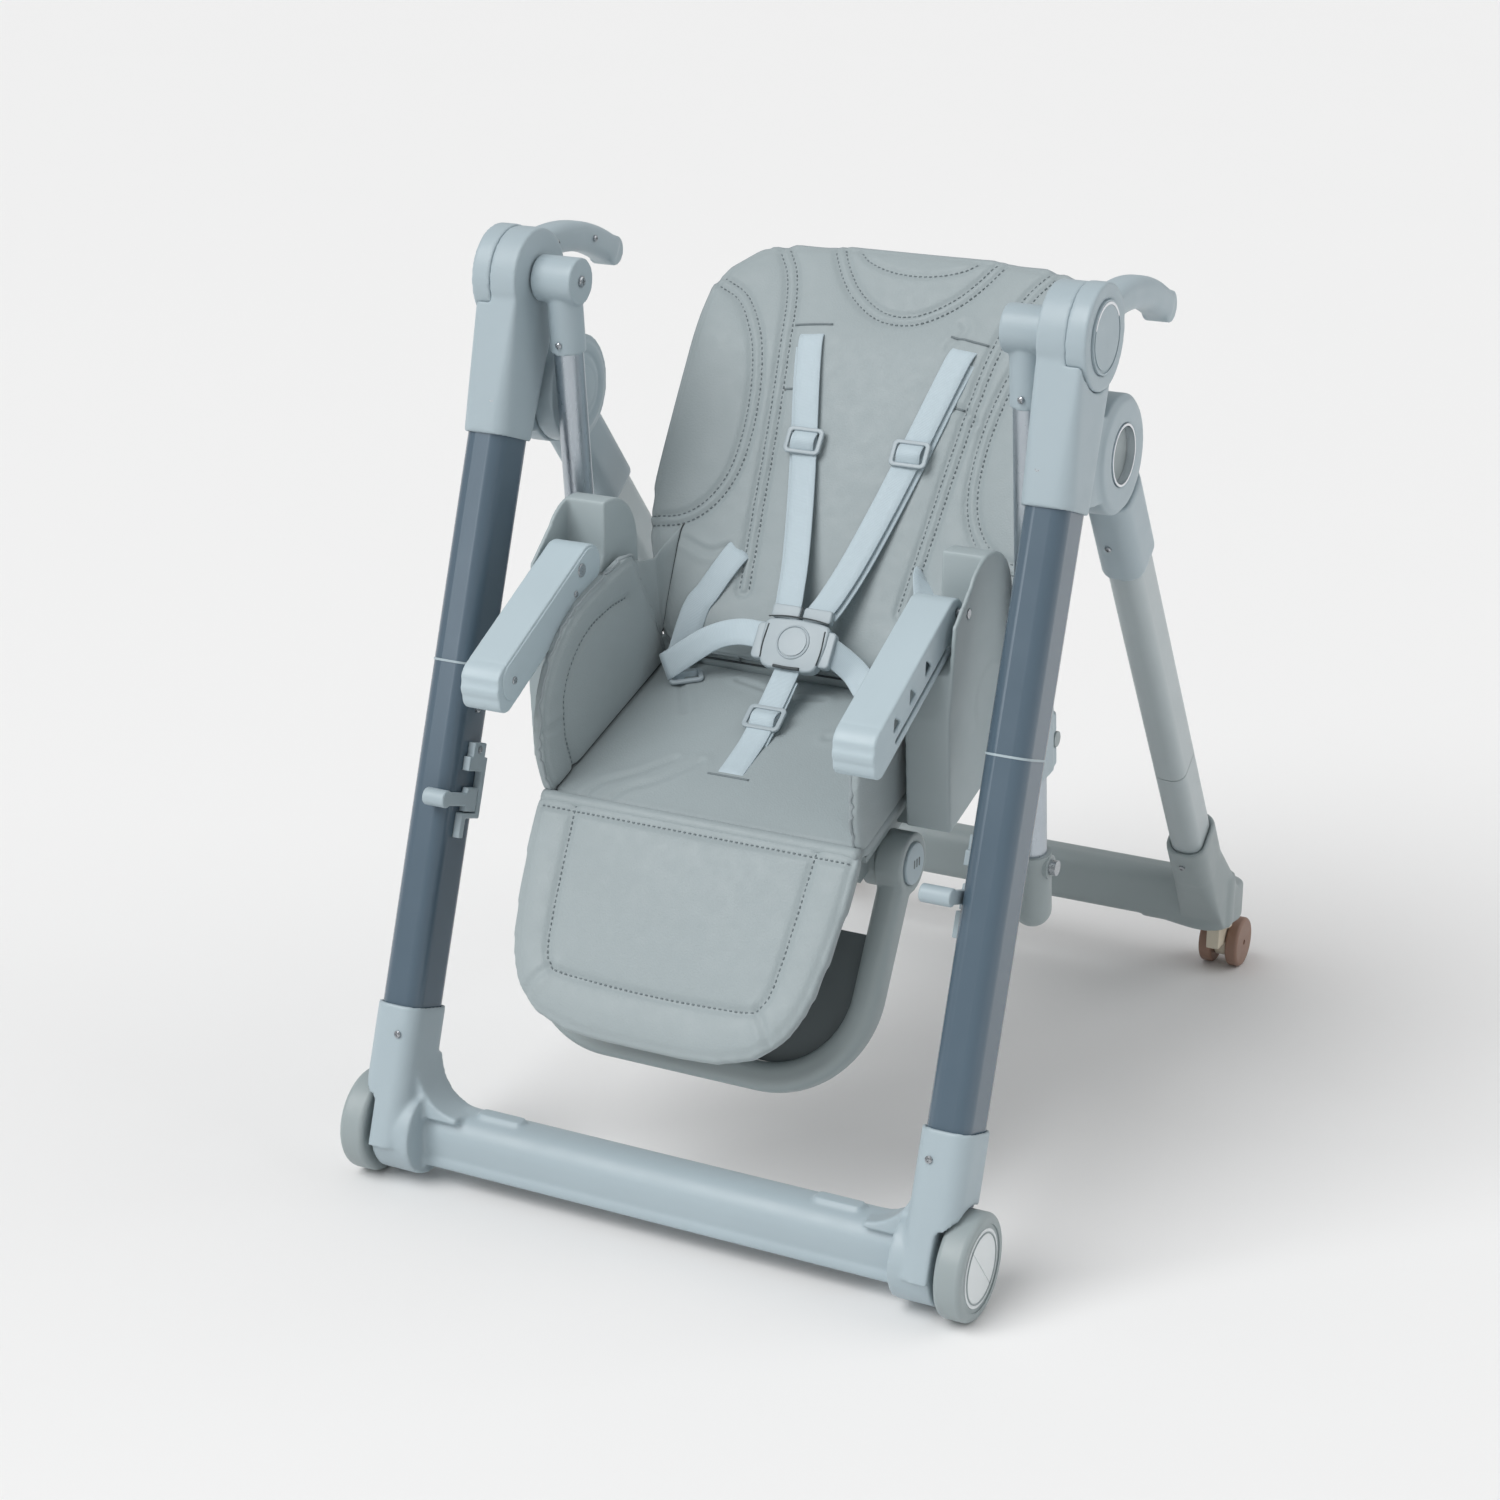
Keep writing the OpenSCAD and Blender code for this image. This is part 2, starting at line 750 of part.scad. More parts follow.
// Wider guide at the foot of each hanger, with a round end
module hanger_sleeves() {
  color(plastic_grey) place() both() on_hanger() difference() {
    union() {
      translate([0, 0, -guide_end_s]) cylinder(r = guide_r, h = guide_end_s - guide_top_s);
      translate([0, 0, -guide_end_s]) sphere(r = guide_r);
      translate([0, 0, -latch_pin_s]) xcyl(11, guide_r + 0.6);
    }
    translate([0, 0, -hanger_end_s]) cylinder(r = hanger_r, h = 80);
    translate([0, 0, -latch_pin_s]) xcyl(7, 60);
  }
}

// ---- Seat ----

// Slider housing round each hanger tube
slider_h = 78;
module slider_body() {
  on_hanger() translate([0, 0, -slider_s]) difference() {
    union() {
      translate([0, 0, -slider_h / 2]) linear_extrude(slider_h) round_rect(32.8, 44, 12);
      translate([0, 16, -12]) linear_extrude(50, center = true) round_rect(30, 28, 10);
    }
    translate([0, 0, -slider_h]) cylinder(r = hanger_r + run_fit, h = 2 * slider_h);
    // pocket for the release button
    translate([8, 22, -12]) xcyl(7.2, 20);
    // flat inner side, where the bracket is bolted on
    translate([-34.2, 0, 0]) cube([36, 100, 200], center = true);
  }
}

module sliders() {
  color(plastic_pale) place() both() slider_body();
}

module height_button() {
  on_hanger() translate([10, 22, -slider_s - 12]) xcyl(7, 6);
}

module height_button_right() {
  color(plastic_grey) place() height_button();
}

module height_button_left() {
  color(plastic_grey) place() left() height_button();
}

// Side bracket: a deep cover that ties the shell, the armrest and the slider together
bracket_in_x = 164;
bracket_out_x = 205.6;
arm_hinge_y = 163;
arm_hinge_z = 556;
disc_y = 208;
disc_z = 548;
disc_r = 50;

module bracket_outline() {
  translate([disc_y, disc_z]) circle(disc_r);
  polygon([
    [138, 368], [128, 470], [136, 550], [disc_y - 24, disc_z + 44], [disc_y + disc_r, disc_z],
    [266, 452], [306, 444], [308, 414], [200, 388]
  ]);
}

// Room for the armrest, from its rest up to its folded place
module arm_room() {
  translate([arm_hinge_y, arm_hinge_z]) {
    circle(34);
    rotate(arm_tilt) translate([-100, -27]) square([100, 67]);
    translate([-30, 0]) square([64, 80]);
  }
}

// The bracket's hollow, open at the bottom
module bracket_hollow() {
  polygon([[146, 300], [138, 470], [142, 502], [200, 502], [252, 452], [262, 440], [262, 300]]);
}

module side_bracket() {
  difference() {
    translate([bracket_in_x, 0, 0]) rotate([90, 0, 90])
      linear_extrude(bracket_out_x - bracket_in_x) bracket_outline();
    translate([bracket_in_x - 5, 0, 0]) rotate([90, 0, 90])
      linear_extrude(bracket_out_x - bracket_in_x + 1) arm_room();
    translate([bracket_in_x + 4, 0, 0]) rotate([90, 0, 90])
      linear_extrude(bracket_out_x - bracket_in_x - 8) bracket_hollow();
    translate([bracket_out_x - 10, arm_hinge_y, arm_hinge_z]) xcyl(4, 20);
  }
  // round cover disc on the outer side
  translate([bracket_out_x - 4, 214, 470]) xcyl(30, 4 + 1.6);
}

module side_brackets() {
  color(plastic_grey) place() both() side_bracket();
}

// Seat shell below the cushion, with the lugs of the leg rest
module seat_shell() {
  color(plastic_grey) place() {
    on_seat() {
      translate([0, -pan_l / 2 - 6, -cushion_t - 3.4]) cube([304, pan_l - 24, 6], center = true);
      both() {
        translate([137, -pan_l / 2 - 6, -34]) cube([6, 190, 34], center = true);
        // lug and pivot pin of the leg rest
        translate([134, leg_hub_y, leg_hub_z]) xcyl(24, 11.6);
        translate([134, leg_hub_y, leg_hub_z]) xcyl(8, 32);
        // tie to the side bracket
        translate([134, -134, -44]) cube([bracket_in_x - 134 - eps, 60, 24]);
      }
      for (y = [-150, -40]) {
        translate([0, y, -30]) cube([270, 6, 26], center = true);
      }
    }
    // hinge rod of the backrest, held between the side brackets
    translate([0, hinge_y, hinge_z]) rotate([0, 90, 0])
      cylinder(r = hinge_r, h = 2 * bracket_in_x - eps, center = true);
  }
}

module seat_cushion() {
  color(cover_grey) place() on_seat() {
    translate([0, -pan_l / 2 - 9, -cushion_t / 2])
      linear_extrude(cushion_t, center = true) round_rect(pan_w, pan_l - 18, 14);
  }
}

// Side wing outline in the seat's own Y and Z: a round front, and a rear corner drawn to a tip
wing_r = 114;
wing_y = -118;
module wing_outline() {
  intersection() {
    translate([wing_y, wing_h - wing_r]) circle(wing_r, $fn = 96);
    translate([-pan_l, 2]) square([pan_l - 26, wing_h]);
  }
  polygon([[wing_y, 20], [wing_y, wing_h], [-60, wing_h], [-34, wing_h - 5], [-26, 60], [-22, 12]]);
}

module side_wings() {
  color(cover_grey) place() on_seat() both() {
    translate([pan_w / 2 - 12, 0, 0]) rotate([90, 0, 90]) linear_extrude(11) wing_outline();
  }
}

// Lower harness: waist straps and crotch strap
strap_w = 25;
strap_t = 2;
module waist_straps() {
  color(webbing) place() {
    both() hull() {
      translate([30, 262, 476]) rotate([-20, 0, 0]) cube([strap_t, 3, strap_w], center = true);
      translate([86, 271, 484]) rotate([-20, 0, 0]) cube([strap_t, 3, strap_w], center = true);
    }
    hull() {
      translate([0, 232, 450]) rotate([30, 0, 0]) cube([strap_w, 4, strap_t], center = true);
      translate([0, 150, 396]) rotate([30, 0, 0]) cube([strap_w, 4, strap_t], center = true);
    }
  }
}

module on_buckle() {
  translate([0, 254, 476]) rotate([56, 0, 0]) children();
}

module buckle() {
  color(plastic_grey) place() on_buckle() difference() {
    linear_extrude(11, center = true) round_rect(54, 54, 15);
    translate([0, -2, 1]) cylinder(r = 13.4, h = 12);
  }
}

module buckle_button() {
  color(plastic_pale) place() on_buckle() translate([0, -2, 3]) cylinder(r = 13, h = 4);
}

// ---- Backrest ----

// Outline of the back in X and along-back Z: narrow at the crease, wide at the shoulders,
// round corners and a gently arched top
arch_r = 550;
shoulder_r = 84;
module back_outline(grow) {
  w = back_w / 2 + grow;
  polygon([
    [-150 - grow, 4], [150 + grow, 4], [178 + grow, 70], [w, 150], [w, 300],
    [-w, 300], [-w, 150], [-178 - grow, 70]
  ]);
  intersection() {
    translate([0, back_l - 110 + grow]) round_rect(2 * w, 220, shoulder_r);
    translate([0, back_l + grow - arch_r]) circle(arch_r, $fn = 180);
    translate([-w, 290]) square([2 * w, back_l]);
  }
}

// Side profile of the back in its own Y and Z: the head end bends rearwards
head_bend_s = 300;
head_bend = 12;
head_l = 130;
back_face = -14;
module back_profile(t, front) {
  low = head_bend_s - (front - back_face) * tan(head_bend / 2);
  top = [back_face + head_l * sin(head_bend), head_bend_s + head_l * cos(head_bend)];
  deep = front - back_face;
  polygon([
    [front, 0],
    [front, low],
    top + deep * [cos(head_bend), -sin(head_bend)],
    top + (deep + t) * [cos(head_bend), -sin(head_bend)],
    [front + t, low - t * tan(head_bend / 2)],
    [front + t, 0]
  ]);
}

module bent_back(t, front, grow) {
  on_back() intersection() {
    rotate([90, 0, 90]) linear_extrude(back_w + 20, center = true) back_profile(t, front);
    rotate([90, 0, 0]) linear_extrude(240, center = true) back_outline(grow);
  }
}

module back_cushion() {
  color(cover_grey) place() bent_back(back_t, back_face, 0);
}

module back_shell() {
  color(plastic_grey) place() {
    difference() {
      bent_back(14, 8.4, -14);
      // hollow rear
      on_back() translate([0, 8.4 + 14, 150]) rotate([90, 0, 0]) linear_extrude(20, center = true)
        round_rect(300, 240, 20);
    }
    // ribs from the hinge knuckles up the hollow
    both() on_back() translate([52, 10.5, 12]) cube([16, 14.5, 240]);
    // hinge knuckles round the hinge rod
    both() difference() {
      union() {
        translate([50, hinge_y, hinge_z]) xcyl(10, 20);
        on_back() translate([51, 9.5, -2]) cube([18, 10, 30]);
      }
      translate([0, hinge_y, hinge_z]) xcyl(hinge_r + run_fit, 100);
    }
  }
}

// Recline handle behind the back, pulled up to release the ratchet
module recline_handle() {
  color(plastic_pale) place() on_back() translate([0, 8.4 + 14 + gap, 252]) rotate([90, 0, 0])
    mirror([0, 0, 1]) difference() {
      linear_extrude(14) round_rect(96, 34, 12);
      translate([0, -2, 5]) linear_extrude(20) round_rect(72, 14, 6);
    }
}

module strap_path(x1, z1, x2, z2) {
  on_back() hull() {
    translate([x1, back_face - 2.4, z1]) rotate([0, atan((x2 - x1) / (z2 - z1)), 0])
      cube([strap_w, strap_t, 2], center = true);
    translate([x2, back_face - 2.4, z2]) rotate([0, atan((x2 - x1) / (z2 - z1)), 0])
      cube([strap_w, strap_t, 2], center = true);
  }
}

module shoulder_straps() {
  color(webbing) place() both() strap_path(18, 66, 76, 316);
}

module strap_adjusters() {
  color(plastic_grey) place() both() on_back()
    translate([46, back_face - 6, 190]) rotate([0, 13, 0]) rotate([90, 0, 0])
      difference() {
        linear_extrude(4, center = true) round_rect(36, 22, 4);
        linear_extrude(10, center = true) round_rect(27, 12, 1.5);
      }
}

// ---- Armrests ----

arm_x = 176;
notch_step = 34;
module on_arm() {
  translate([arm_x, arm_hinge_y, arm_hinge_z]) rotate([arm_tilt, 0, 0]) children();
}

// Side outline of an armrest, forward along -Y
module arm_outline() {
  difference() {
    union() {
      translate([-arm_l + 40, -24]) square([arm_l - 40 - 8, 40]);
      translate([-8, -4]) circle(20);
      translate([-arm_l + 34, -4]) circle(20);
      translate([-arm_l + 24, -24]) square([30, 32]);
      translate([-arm_l + 24, -12]) circle(12);
    }
    // hook at the tip
    translate([-arm_l + 12, 12]) circle(9);
  }
}

module armrest() {
  on_arm() difference() {
    rotate([90, 0, 90]) linear_extrude(arm_w, center = true) arm_outline();
    // hollow underside
    rotate([90, 0, 90]) linear_extrude(arm_w - 7, center = true)
      translate([-arm_l + 26, -40]) square([arm_l - 46, 50]);
    // three triangular notches and a long slot in each side
    for (k = [0 : 2]) {
      translate([0, -66 - notch_step * k, -2]) rotate([90, 0, 90])
        linear_extrude(arm_w + 2, center = true) polygon([[-8, -5], [8, -5], [0, 8]]);
    }
    translate([0, -84, -16]) cube([arm_w + 2, 116, 4], center = true);
    translate([-40, 0, 0]) xcyl(4 + run_fit, 80);
  }
}

module armrest_right() {
  color(plastic_pale) place() armrest();
}

module armrest_left() {
  color(plastic_pale) place() left() armrest();
}

module armrest_pins() {
  color(silver) place() both() translate([arm_x - 19, arm_hinge_y, arm_hinge_z])
    xcyl(4, bracket_out_x - arm_x + 19);
}

// ---- Leg rest ----

module on_leg_rest() {
  on_seat() translate([0, leg_hub_y, leg_hub_z]) rotate([-pan_tilt, 0, 0])
    rotate([-leg_rest_tilt, 0, 0]) children();
}

bar_t = 26;
corner_r = 84;
// U frame: two arms, two round corners and a cross piece, open at the top
module leg_frame() {
  half = leg_rest_w / 2 - bar_t / 2;
  low = -leg_rest_l + bar_t / 2;
  color(plastic_grey) place() on_leg_rest() difference() {
    union() {
      both() {
        translate([half, 0, low + corner_r]) linear_extrude(-low - corner_r)
          round_rect(bar_t, bar_t, 9);
        translate([half - corner_r, 0, low + corner_r]) rotate([90, 0, 0])
          rotate([0, 0, -90]) rotate_extrude(angle = 90)
            translate([corner_r, 0]) round_rect(bar_t, bar_t, 9);
        translate([half - bar_t / 2, 0, 0]) xcyl(27, bar_t);
      }
      translate([0, 0, low]) rotate([0, 90, 0])
        linear_extrude(2 * (half - corner_r), center = true) round_rect(bar_t, bar_t, 9);
    }
    both() translate([140, 0, 0]) xcyl(8 + run_fit, 28);
    both() translate([half + bar_t / 2 - 3, 0, 0]) xcyl(20, 10);
  }
}

// Panel that closes the lower half of the U frame
module leg_panel() {
  half = leg_rest_w / 2 - bar_t - 0.3;
  low = -leg_rest_l + bar_t + 0.3;
  r = corner_r - bar_t / 2 - 0.3;
  color([0.36, 0.40, 0.41]) place() on_leg_rest() translate([0, 3, 0]) rotate([90, 0, 0])
    linear_extrude(4) intersection() {
      translate([0, low + 150]) round_rect(2 * half, 300, r);
      translate([-half, low]) square([2 * half, corner_r + 40]);
    }
}

module leg_pad() {
  color(cover_grey) place() translate([0, crease_y, crease_z]) rotate([pan_tilt, 0, 0])
    translate([0, -pan_l - 6, -6]) rotate([-pan_tilt - 31.5, 0, 0]) {
      translate([0, 5, 0]) rotate([90, 0, 0]) linear_extrude(16) difference() {
        union() {
          translate([0, -leg_pad_l / 2 + 20]) square([pan_w, leg_pad_l - 44], center = true);
          translate([0, -leg_pad_l + 60]) round_rect(pan_w, 120, 58);
        }
        translate([0, 8]) square([400, 24], center = true);
      }
      // bead along the fold line
      rotate([0, 90, 0]) cylinder(r = 5, h = pan_w - 12, center = true);
    }
}

front_crossbar();
front_axles();
front_leg_lowers();
front_leg_uppers();
front_leg_spigots();
front_leg_rings();
leg_cover_left();
leg_cover_right();
handle_left();
handle_right();
hub_caps();
bright_trims();
latch_brackets();
front_screws();
fold_button_left();
fold_button_right();
latch_slider_left();
latch_slider_right();
fold_pins();
rear_hub_left();
rear_hub_right();
rear_leg_uppers();
rear_leg_lowers();
rear_base();
rear_screws();
castor_block_left();
castor_block_right();
castor_wheels_left();
castor_wheels_right();
wheel_rim_left();
wheel_rim_right();
wheel_tyre_left();
wheel_tyre_right();
wheel_cap_left();
wheel_cap_right();
t_joints();
swing_pins();
hanger_tubes();
hanger_sleeves();
sliders();
side_brackets();
seat_shell();
seat_cushion();
side_wings();
waist_straps();
buckle();
buckle_button();
height_button_left();
height_button_right();
back_shell();
back_cushion();
shoulder_straps();
strap_adjusters();
recline_handle();
armrest_left();
armrest_right();
armrest_pins();
leg_frame();
leg_panel();
leg_pad();
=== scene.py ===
"""Baby high chair: soft goods, finishes, floor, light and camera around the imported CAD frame.

Lengths are metres in the row frame, apart from the pad and strap layouts, which are in
millimetres on the pan, the back, the side wings and the leg cushion, as the CAD part is.
"""

import bmesh
import bpy
import numpy as np
from mathutils import Matrix, Vector
from mathutils.bvhtree import BVHTree


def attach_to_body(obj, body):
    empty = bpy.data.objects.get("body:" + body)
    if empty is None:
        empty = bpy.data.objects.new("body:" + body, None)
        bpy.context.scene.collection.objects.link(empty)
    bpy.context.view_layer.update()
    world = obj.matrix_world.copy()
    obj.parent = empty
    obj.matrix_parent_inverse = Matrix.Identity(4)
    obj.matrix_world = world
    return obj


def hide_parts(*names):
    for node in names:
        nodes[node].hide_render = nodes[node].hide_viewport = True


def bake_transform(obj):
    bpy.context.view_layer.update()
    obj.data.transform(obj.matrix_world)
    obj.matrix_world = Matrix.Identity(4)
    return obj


MM = 0.001
# From the front axle back to the frame's origin: places are written as distances behind that axle
FOOT_MID = 0.40075
# The crease between pan and back, the pan's and the back's angles, and where the head end bends
CREASE = np.array([0.0, 0.288 - FOOT_MID, 0.439])
PAN_TILT = np.radians(18)
BACK_LEAN = np.radians(31.5)
HEAD_BEND = np.radians(12)
HEAD_START = 285.0
HEAD_END = 325.0
# The seam that the leg cushion hangs from
LEG_SEAM = np.array([0.0, 0.0692 - FOOT_MID, 0.3616])
# Half the distance between the side wings at the pan, and how they lean out with height
WING_FOOT = 150
WING_SPLAY = 0.03
SIDES = (("left", -1), ("right", 1))

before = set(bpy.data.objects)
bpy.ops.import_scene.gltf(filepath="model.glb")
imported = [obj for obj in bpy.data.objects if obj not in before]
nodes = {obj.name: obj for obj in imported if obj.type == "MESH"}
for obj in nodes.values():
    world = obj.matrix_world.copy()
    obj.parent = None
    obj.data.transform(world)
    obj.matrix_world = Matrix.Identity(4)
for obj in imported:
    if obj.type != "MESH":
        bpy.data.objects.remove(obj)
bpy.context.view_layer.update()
scene = bpy.context.scene


# ---- Places on the seat ----


def columns(x, y, z):
    """Points from their x, y and z, where a single number holds for all of them."""
    return np.stack(np.broadcast_arrays(x, y, z), axis=-1).astype(float)


def seat_place(p):
    """Seat's own x, y, z in mm, origin at the crease, to the row frame."""
    x, y, z = (np.asarray(p, float) * MM).T
    c, s = np.cos(PAN_TILT), np.sin(PAN_TILT)
    return columns(x, CREASE[1] + y * c - z * s, CREASE[2] + y * s + z * c)


def pan_place(p):
    """x, distance forward from the crease and height above the pan, in mm."""
    p = np.asarray(p, float)
    return seat_place(columns(p[..., 0], -p[..., 1], p[..., 2]))


def back_dish(x):
    """How far the back's sides stand forward of its middle, in mm."""
    return 9 * (x / 200) ** 2


def back_place(p):
    """x, distance up the back and height towards the child, in mm. The head end bends back."""
    p = np.asarray(p, float)
    x, s = p[..., 0], p[..., 1]
    h = p[..., 2] + back_dish(x)
    radius = (HEAD_END - HEAD_START) / HEAD_BEND
    a = np.clip((s - HEAD_START) / radius, 0, HEAD_BEND)
    past = np.clip(s - HEAD_END, 0, None)
    before = np.minimum(s, HEAD_START)
    y = radius * (1 - np.cos(a)) + past * np.sin(HEAD_BEND) - h * np.cos(a)
    z = before + radius * np.sin(a) + past * np.cos(HEAD_BEND) + h * np.sin(a)
    y, z = y * MM, z * MM
    c, t = np.cos(BACK_LEAN), np.sin(BACK_LEAN)
    return columns(x * MM, CREASE[1] + y * c + z * t, CREASE[2] - y * t + z * c)


def wing_place(side):
    """Distance forward from the crease, height above the pan, height towards the child."""

    def place(p):
        p = np.asarray(p, float)
        x = side * (WING_FOOT + WING_SPLAY * p[..., 1] - p[..., 2])
        return seat_place(columns(x, -p[..., 0], p[..., 1]))

    return place


def leg_place(p):
    """x, distance down from the front seam and height above the leg cushion's middle."""
    p = np.asarray(p, float) * MM
    c, s = np.cos(BACK_LEAN), np.sin(BACK_LEAN)
    y = LEG_SEAM[1] - p[..., 1] * s - p[..., 2] * c
    z = LEG_SEAM[2] - p[..., 1] * c + p[..., 2] * s
    return columns(p[..., 0], y, z)


# ---- Materials ----


def srgb(r, g, b):
    v = np.array([r, g, b]) / 255
    return [*np.where(v <= 0.04045, v / 12.92, ((v + 0.055) / 1.055) ** 2.4), 1.0]


class Nodes:
    """A material's node tree, with short calls to add and link nodes."""

    def __init__(self, name):
        self.material = bpy.data.materials.new(name)
        self.material.use_nodes = True
        self.tree = self.material.node_tree
        self.tree.nodes.clear()
        self.shader = self.add("ShaderNodeBsdfPrincipled")
        output = self.add("ShaderNodeOutputMaterial")
        self.link(self.shader.outputs[0], output.inputs[0])
        self.where = self.add("ShaderNodeTexCoord").outputs["Object"]

    def add(self, kind, **values):
        node = self.tree.nodes.new(kind)
        for key, value in values.items():
            if hasattr(node, key):
                setattr(node, key, value)
            else:
                node.inputs[key.replace("_", " ")].default_value = value
        return node

    def link(self, a, b):
        self.tree.links.new(a, b)

    def noise(self, scale, detail=3.0, rough=0.5):
        node = self.add("ShaderNodeTexNoise", Scale=scale, Detail=detail, Roughness=rough)
        self.link(self.where, node.inputs["Vector"])
        return node.outputs["Fac"]

    def pebbles(self, scale):
        node = self.add("ShaderNodeTexVoronoi", feature="SMOOTH_F1", Scale=scale)
        self.link(self.where, node.inputs["Vector"])
        return node.outputs["Distance"]

    def spread(self, value, low, high, start=0.3, end=0.7):
        node = self.add("ShaderNodeMapRange")
        for socket, number in zip(("From Min", "From Max", "To Min", "To Max"), (start, end, low, high)):
            node.inputs[socket].default_value = number
        self.link(value, node.inputs["Value"])
        return node.outputs["Result"]

    def two_tone(self, value, first, second):
        node = self.add("ShaderNodeMix", data_type="RGBA")
        node.inputs["A"].default_value = first
        node.inputs["B"].default_value = second
        self.link(value, node.inputs["Factor"])
        self.link(node.outputs["Result"], self.shader.inputs["Base Color"])
        return node

    def bump(self, value, distance, strength, before=None):
        node = self.add("ShaderNodeBump", Strength=strength, Distance=distance)
        self.link(value, node.inputs["Height"])
        if before is not None:
            self.link(before, node.inputs["Normal"])
        self.link(node.outputs["Normal"], self.shader.inputs["Normal"])
        return node.outputs["Normal"]

    def set(self, **values):
        for key, value in values.items():
            self.shader.inputs[key.replace("_", " ")].default_value = value


def shade(color, factor):
    return [c * factor for c in color[:3]] + [1.0]


def moulded(name, color, rough=0.42, grain=0.00006):
    """Moulded plastic: a slight cloudiness, a fine spark-eroded grain and an uneven gloss."""
    n = Nodes(name)
    n.two_tone(n.noise(9, 4), shade(color, 0.95), shade(color, 1.04))
    n.link(n.spread(n.noise(45, 5), rough - 0.05, rough + 0.07), n.shader.inputs["Roughness"])
    broad = n.bump(n.noise(60, 2), 0.00012, 0.35)
    n.bump(n.noise(1500, 2), grain, 0.5, broad)
    n.set(IOR=1.49)
    return n.material


def coated_tube(name, color, metallic, rough):
    """Powder coat over drawn tube: orange peel, and faint patches in its tone and gloss."""
    n = Nodes(name)
    n.two_tone(n.noise(14, 3), shade(color, 0.97), shade(color, 1.03))
    n.link(n.spread(n.noise(30, 4), rough - 0.03, rough + 0.04), n.shader.inputs["Roughness"])
    n.bump(n.noise(420, 2), 0.00003, 0.3)
    n.set(Metallic=metallic, Coat_Weight=0.25, Coat_Roughness=0.2)
    return n.material


def bare_metal(name, color, rough, streak):
    """Drawn or plated metal with fine scratches; streak is the scratch scale along the tube."""
    n = Nodes(name)
    n.two_tone(n.noise(25, 4), shade(color, 0.92), shade(color, 1.05))
    squeeze = n.add("ShaderNodeMapping")
    squeeze.inputs["Scale"].default_value = (1, 1, streak)
    n.link(n.where, squeeze.inputs["Vector"])
    lines = n.add("ShaderNodeTexNoise", Scale=900, Detail=2)
    n.link(squeeze.outputs["Vector"], lines.inputs["Vector"])
    n.link(n.spread(lines.outputs["Fac"], rough - 0.06, rough + 0.08), n.shader.inputs["Roughness"])
    n.bump(lines.outputs["Fac"], 0.00002, 0.3)
    n.set(Metallic=1.0)
    return n.material


def leatherette(name, color):
    """Embossed leatherette: small soft pebbles, slow creases and a broken sheen."""
    n = Nodes(name)
    n.two_tone(n.noise(7, 5), shade(color, 0.94), shade(color, 1.04))
    n.link(n.spread(n.noise(80, 4), 0.46, 0.6), n.shader.inputs["Roughness"])
    creases = n.bump(n.noise(26, 5, 0.6), 0.0011, 0.35)
    grain = n.bump(n.pebbles(620), 0.00028, 0.55, creases)
    n.bump(n.noise(1900, 2), 0.00008, 0.4, grain)
    n.set(Sheen_Weight=0.12, Sheen_Roughness=0.5, IOR=1.46)
    return n.material


def woven(name, color):
    """Woven webbing: UV.x runs across it and UV.y along it, both in metres."""
    n = Nodes(name)
    uv = n.add("ShaderNodeUVMap", uv_map="weave").outputs["UV"]
    picks = n.add("ShaderNodeTexWave", bands_direction="Y", wave_profile="SIN", Scale=230.0)
    ends = n.add("ShaderNodeTexWave", bands_direction="X", wave_profile="SIN", Scale=330.0)
    n.link(uv, picks.inputs["Vector"])
    n.link(uv, ends.inputs["Vector"])
    both = n.add("ShaderNodeMath", operation="MULTIPLY")
    n.link(picks.outputs["Fac"], both.inputs[0])
    n.link(ends.outputs["Fac"], both.inputs[1])
    n.two_tone(n.spread(both.outputs[0], 0, 1, 0, 1), shade(color, 0.9), shade(color, 1.05))
    n.link(n.spread(n.noise(200, 3), 0.5, 0.68), n.shader.inputs["Roughness"])
    n.bump(both.outputs[0], 0.00022, 0.7)
    n.set(Sheen_Weight=0.3, Sheen_Roughness=0.4)
    return n.material


def thread_and_shade(name, color):
    """Twisted thread; in a dark colour it is also the shadow line of a seam."""
    n = Nodes(name)
    n.two_tone(n.noise(700, 2), shade(color, 0.85), shade(color, 1.08))
    n.bump(n.noise(2600, 2), 0.0001, 0.5)
    n.set(Roughness=0.6, Sheen_Weight=0.2)
    return n.material


materials = {
    "pale": moulded("pale_plastic", srgb(165, 180, 187)),
    "light": moulded("light_plastic", srgb(177, 193, 200)),
    "grey": moulded("grey_plastic", srgb(150, 161, 163)),
    "bracket": moulded("bracket_plastic", srgb(163, 175, 178), 0.5),
    "buckle": moulded("buckle_plastic", srgb(163, 175, 181), 0.38),
    # Dark grey for the leg panel; on the hub caps it is painted shade in the slots.
    "dark": moulded("dark_plastic", srgb(98, 106, 108), 0.55),
    "slate": coated_tube("slate_tube", srgb(83, 101, 115), 0.1, 0.21),
    "rear": coated_tube("grey_tube", srgb(172, 183, 186), 0.2, 0.4),
    "tube": bare_metal("anodised_tube", srgb(182, 190, 197), 0.32, 0.04),
    "steel": bare_metal("zinc_steel", srgb(176, 180, 184), 0.28, 1.0),
    "chrome": bare_metal("bright_plating", srgb(222, 226, 230), 0.1, 1.0),
    "castor": moulded("castor_wheel", srgb(146, 116, 101), 0.45),
    "cream": moulded("castor_block", srgb(214, 205, 186), 0.42),
    "cap": moulded("wheel_cap", srgb(222, 228, 230), 0.2, 0.00002),
    "leather": leatherette("leatherette", srgb(153, 164, 167)),
    "webbing": woven("webbing", srgb(190, 206, 214)),
    # Thread: darker than the real light thread, so that it also carries painted shade of the stitch holes.
    "thread_and_shade": thread_and_shade("thread_and_shade", srgb(112, 123, 127)),
    # Shade lines: thin dark tubes laid in joins and gaps, painted shadow where only shade darkens the cover.
    "seam": thread_and_shade("seam_shadow", srgb(58, 66, 69)),
    "piping": leatherette("piping", srgb(146, 156, 160)),
}

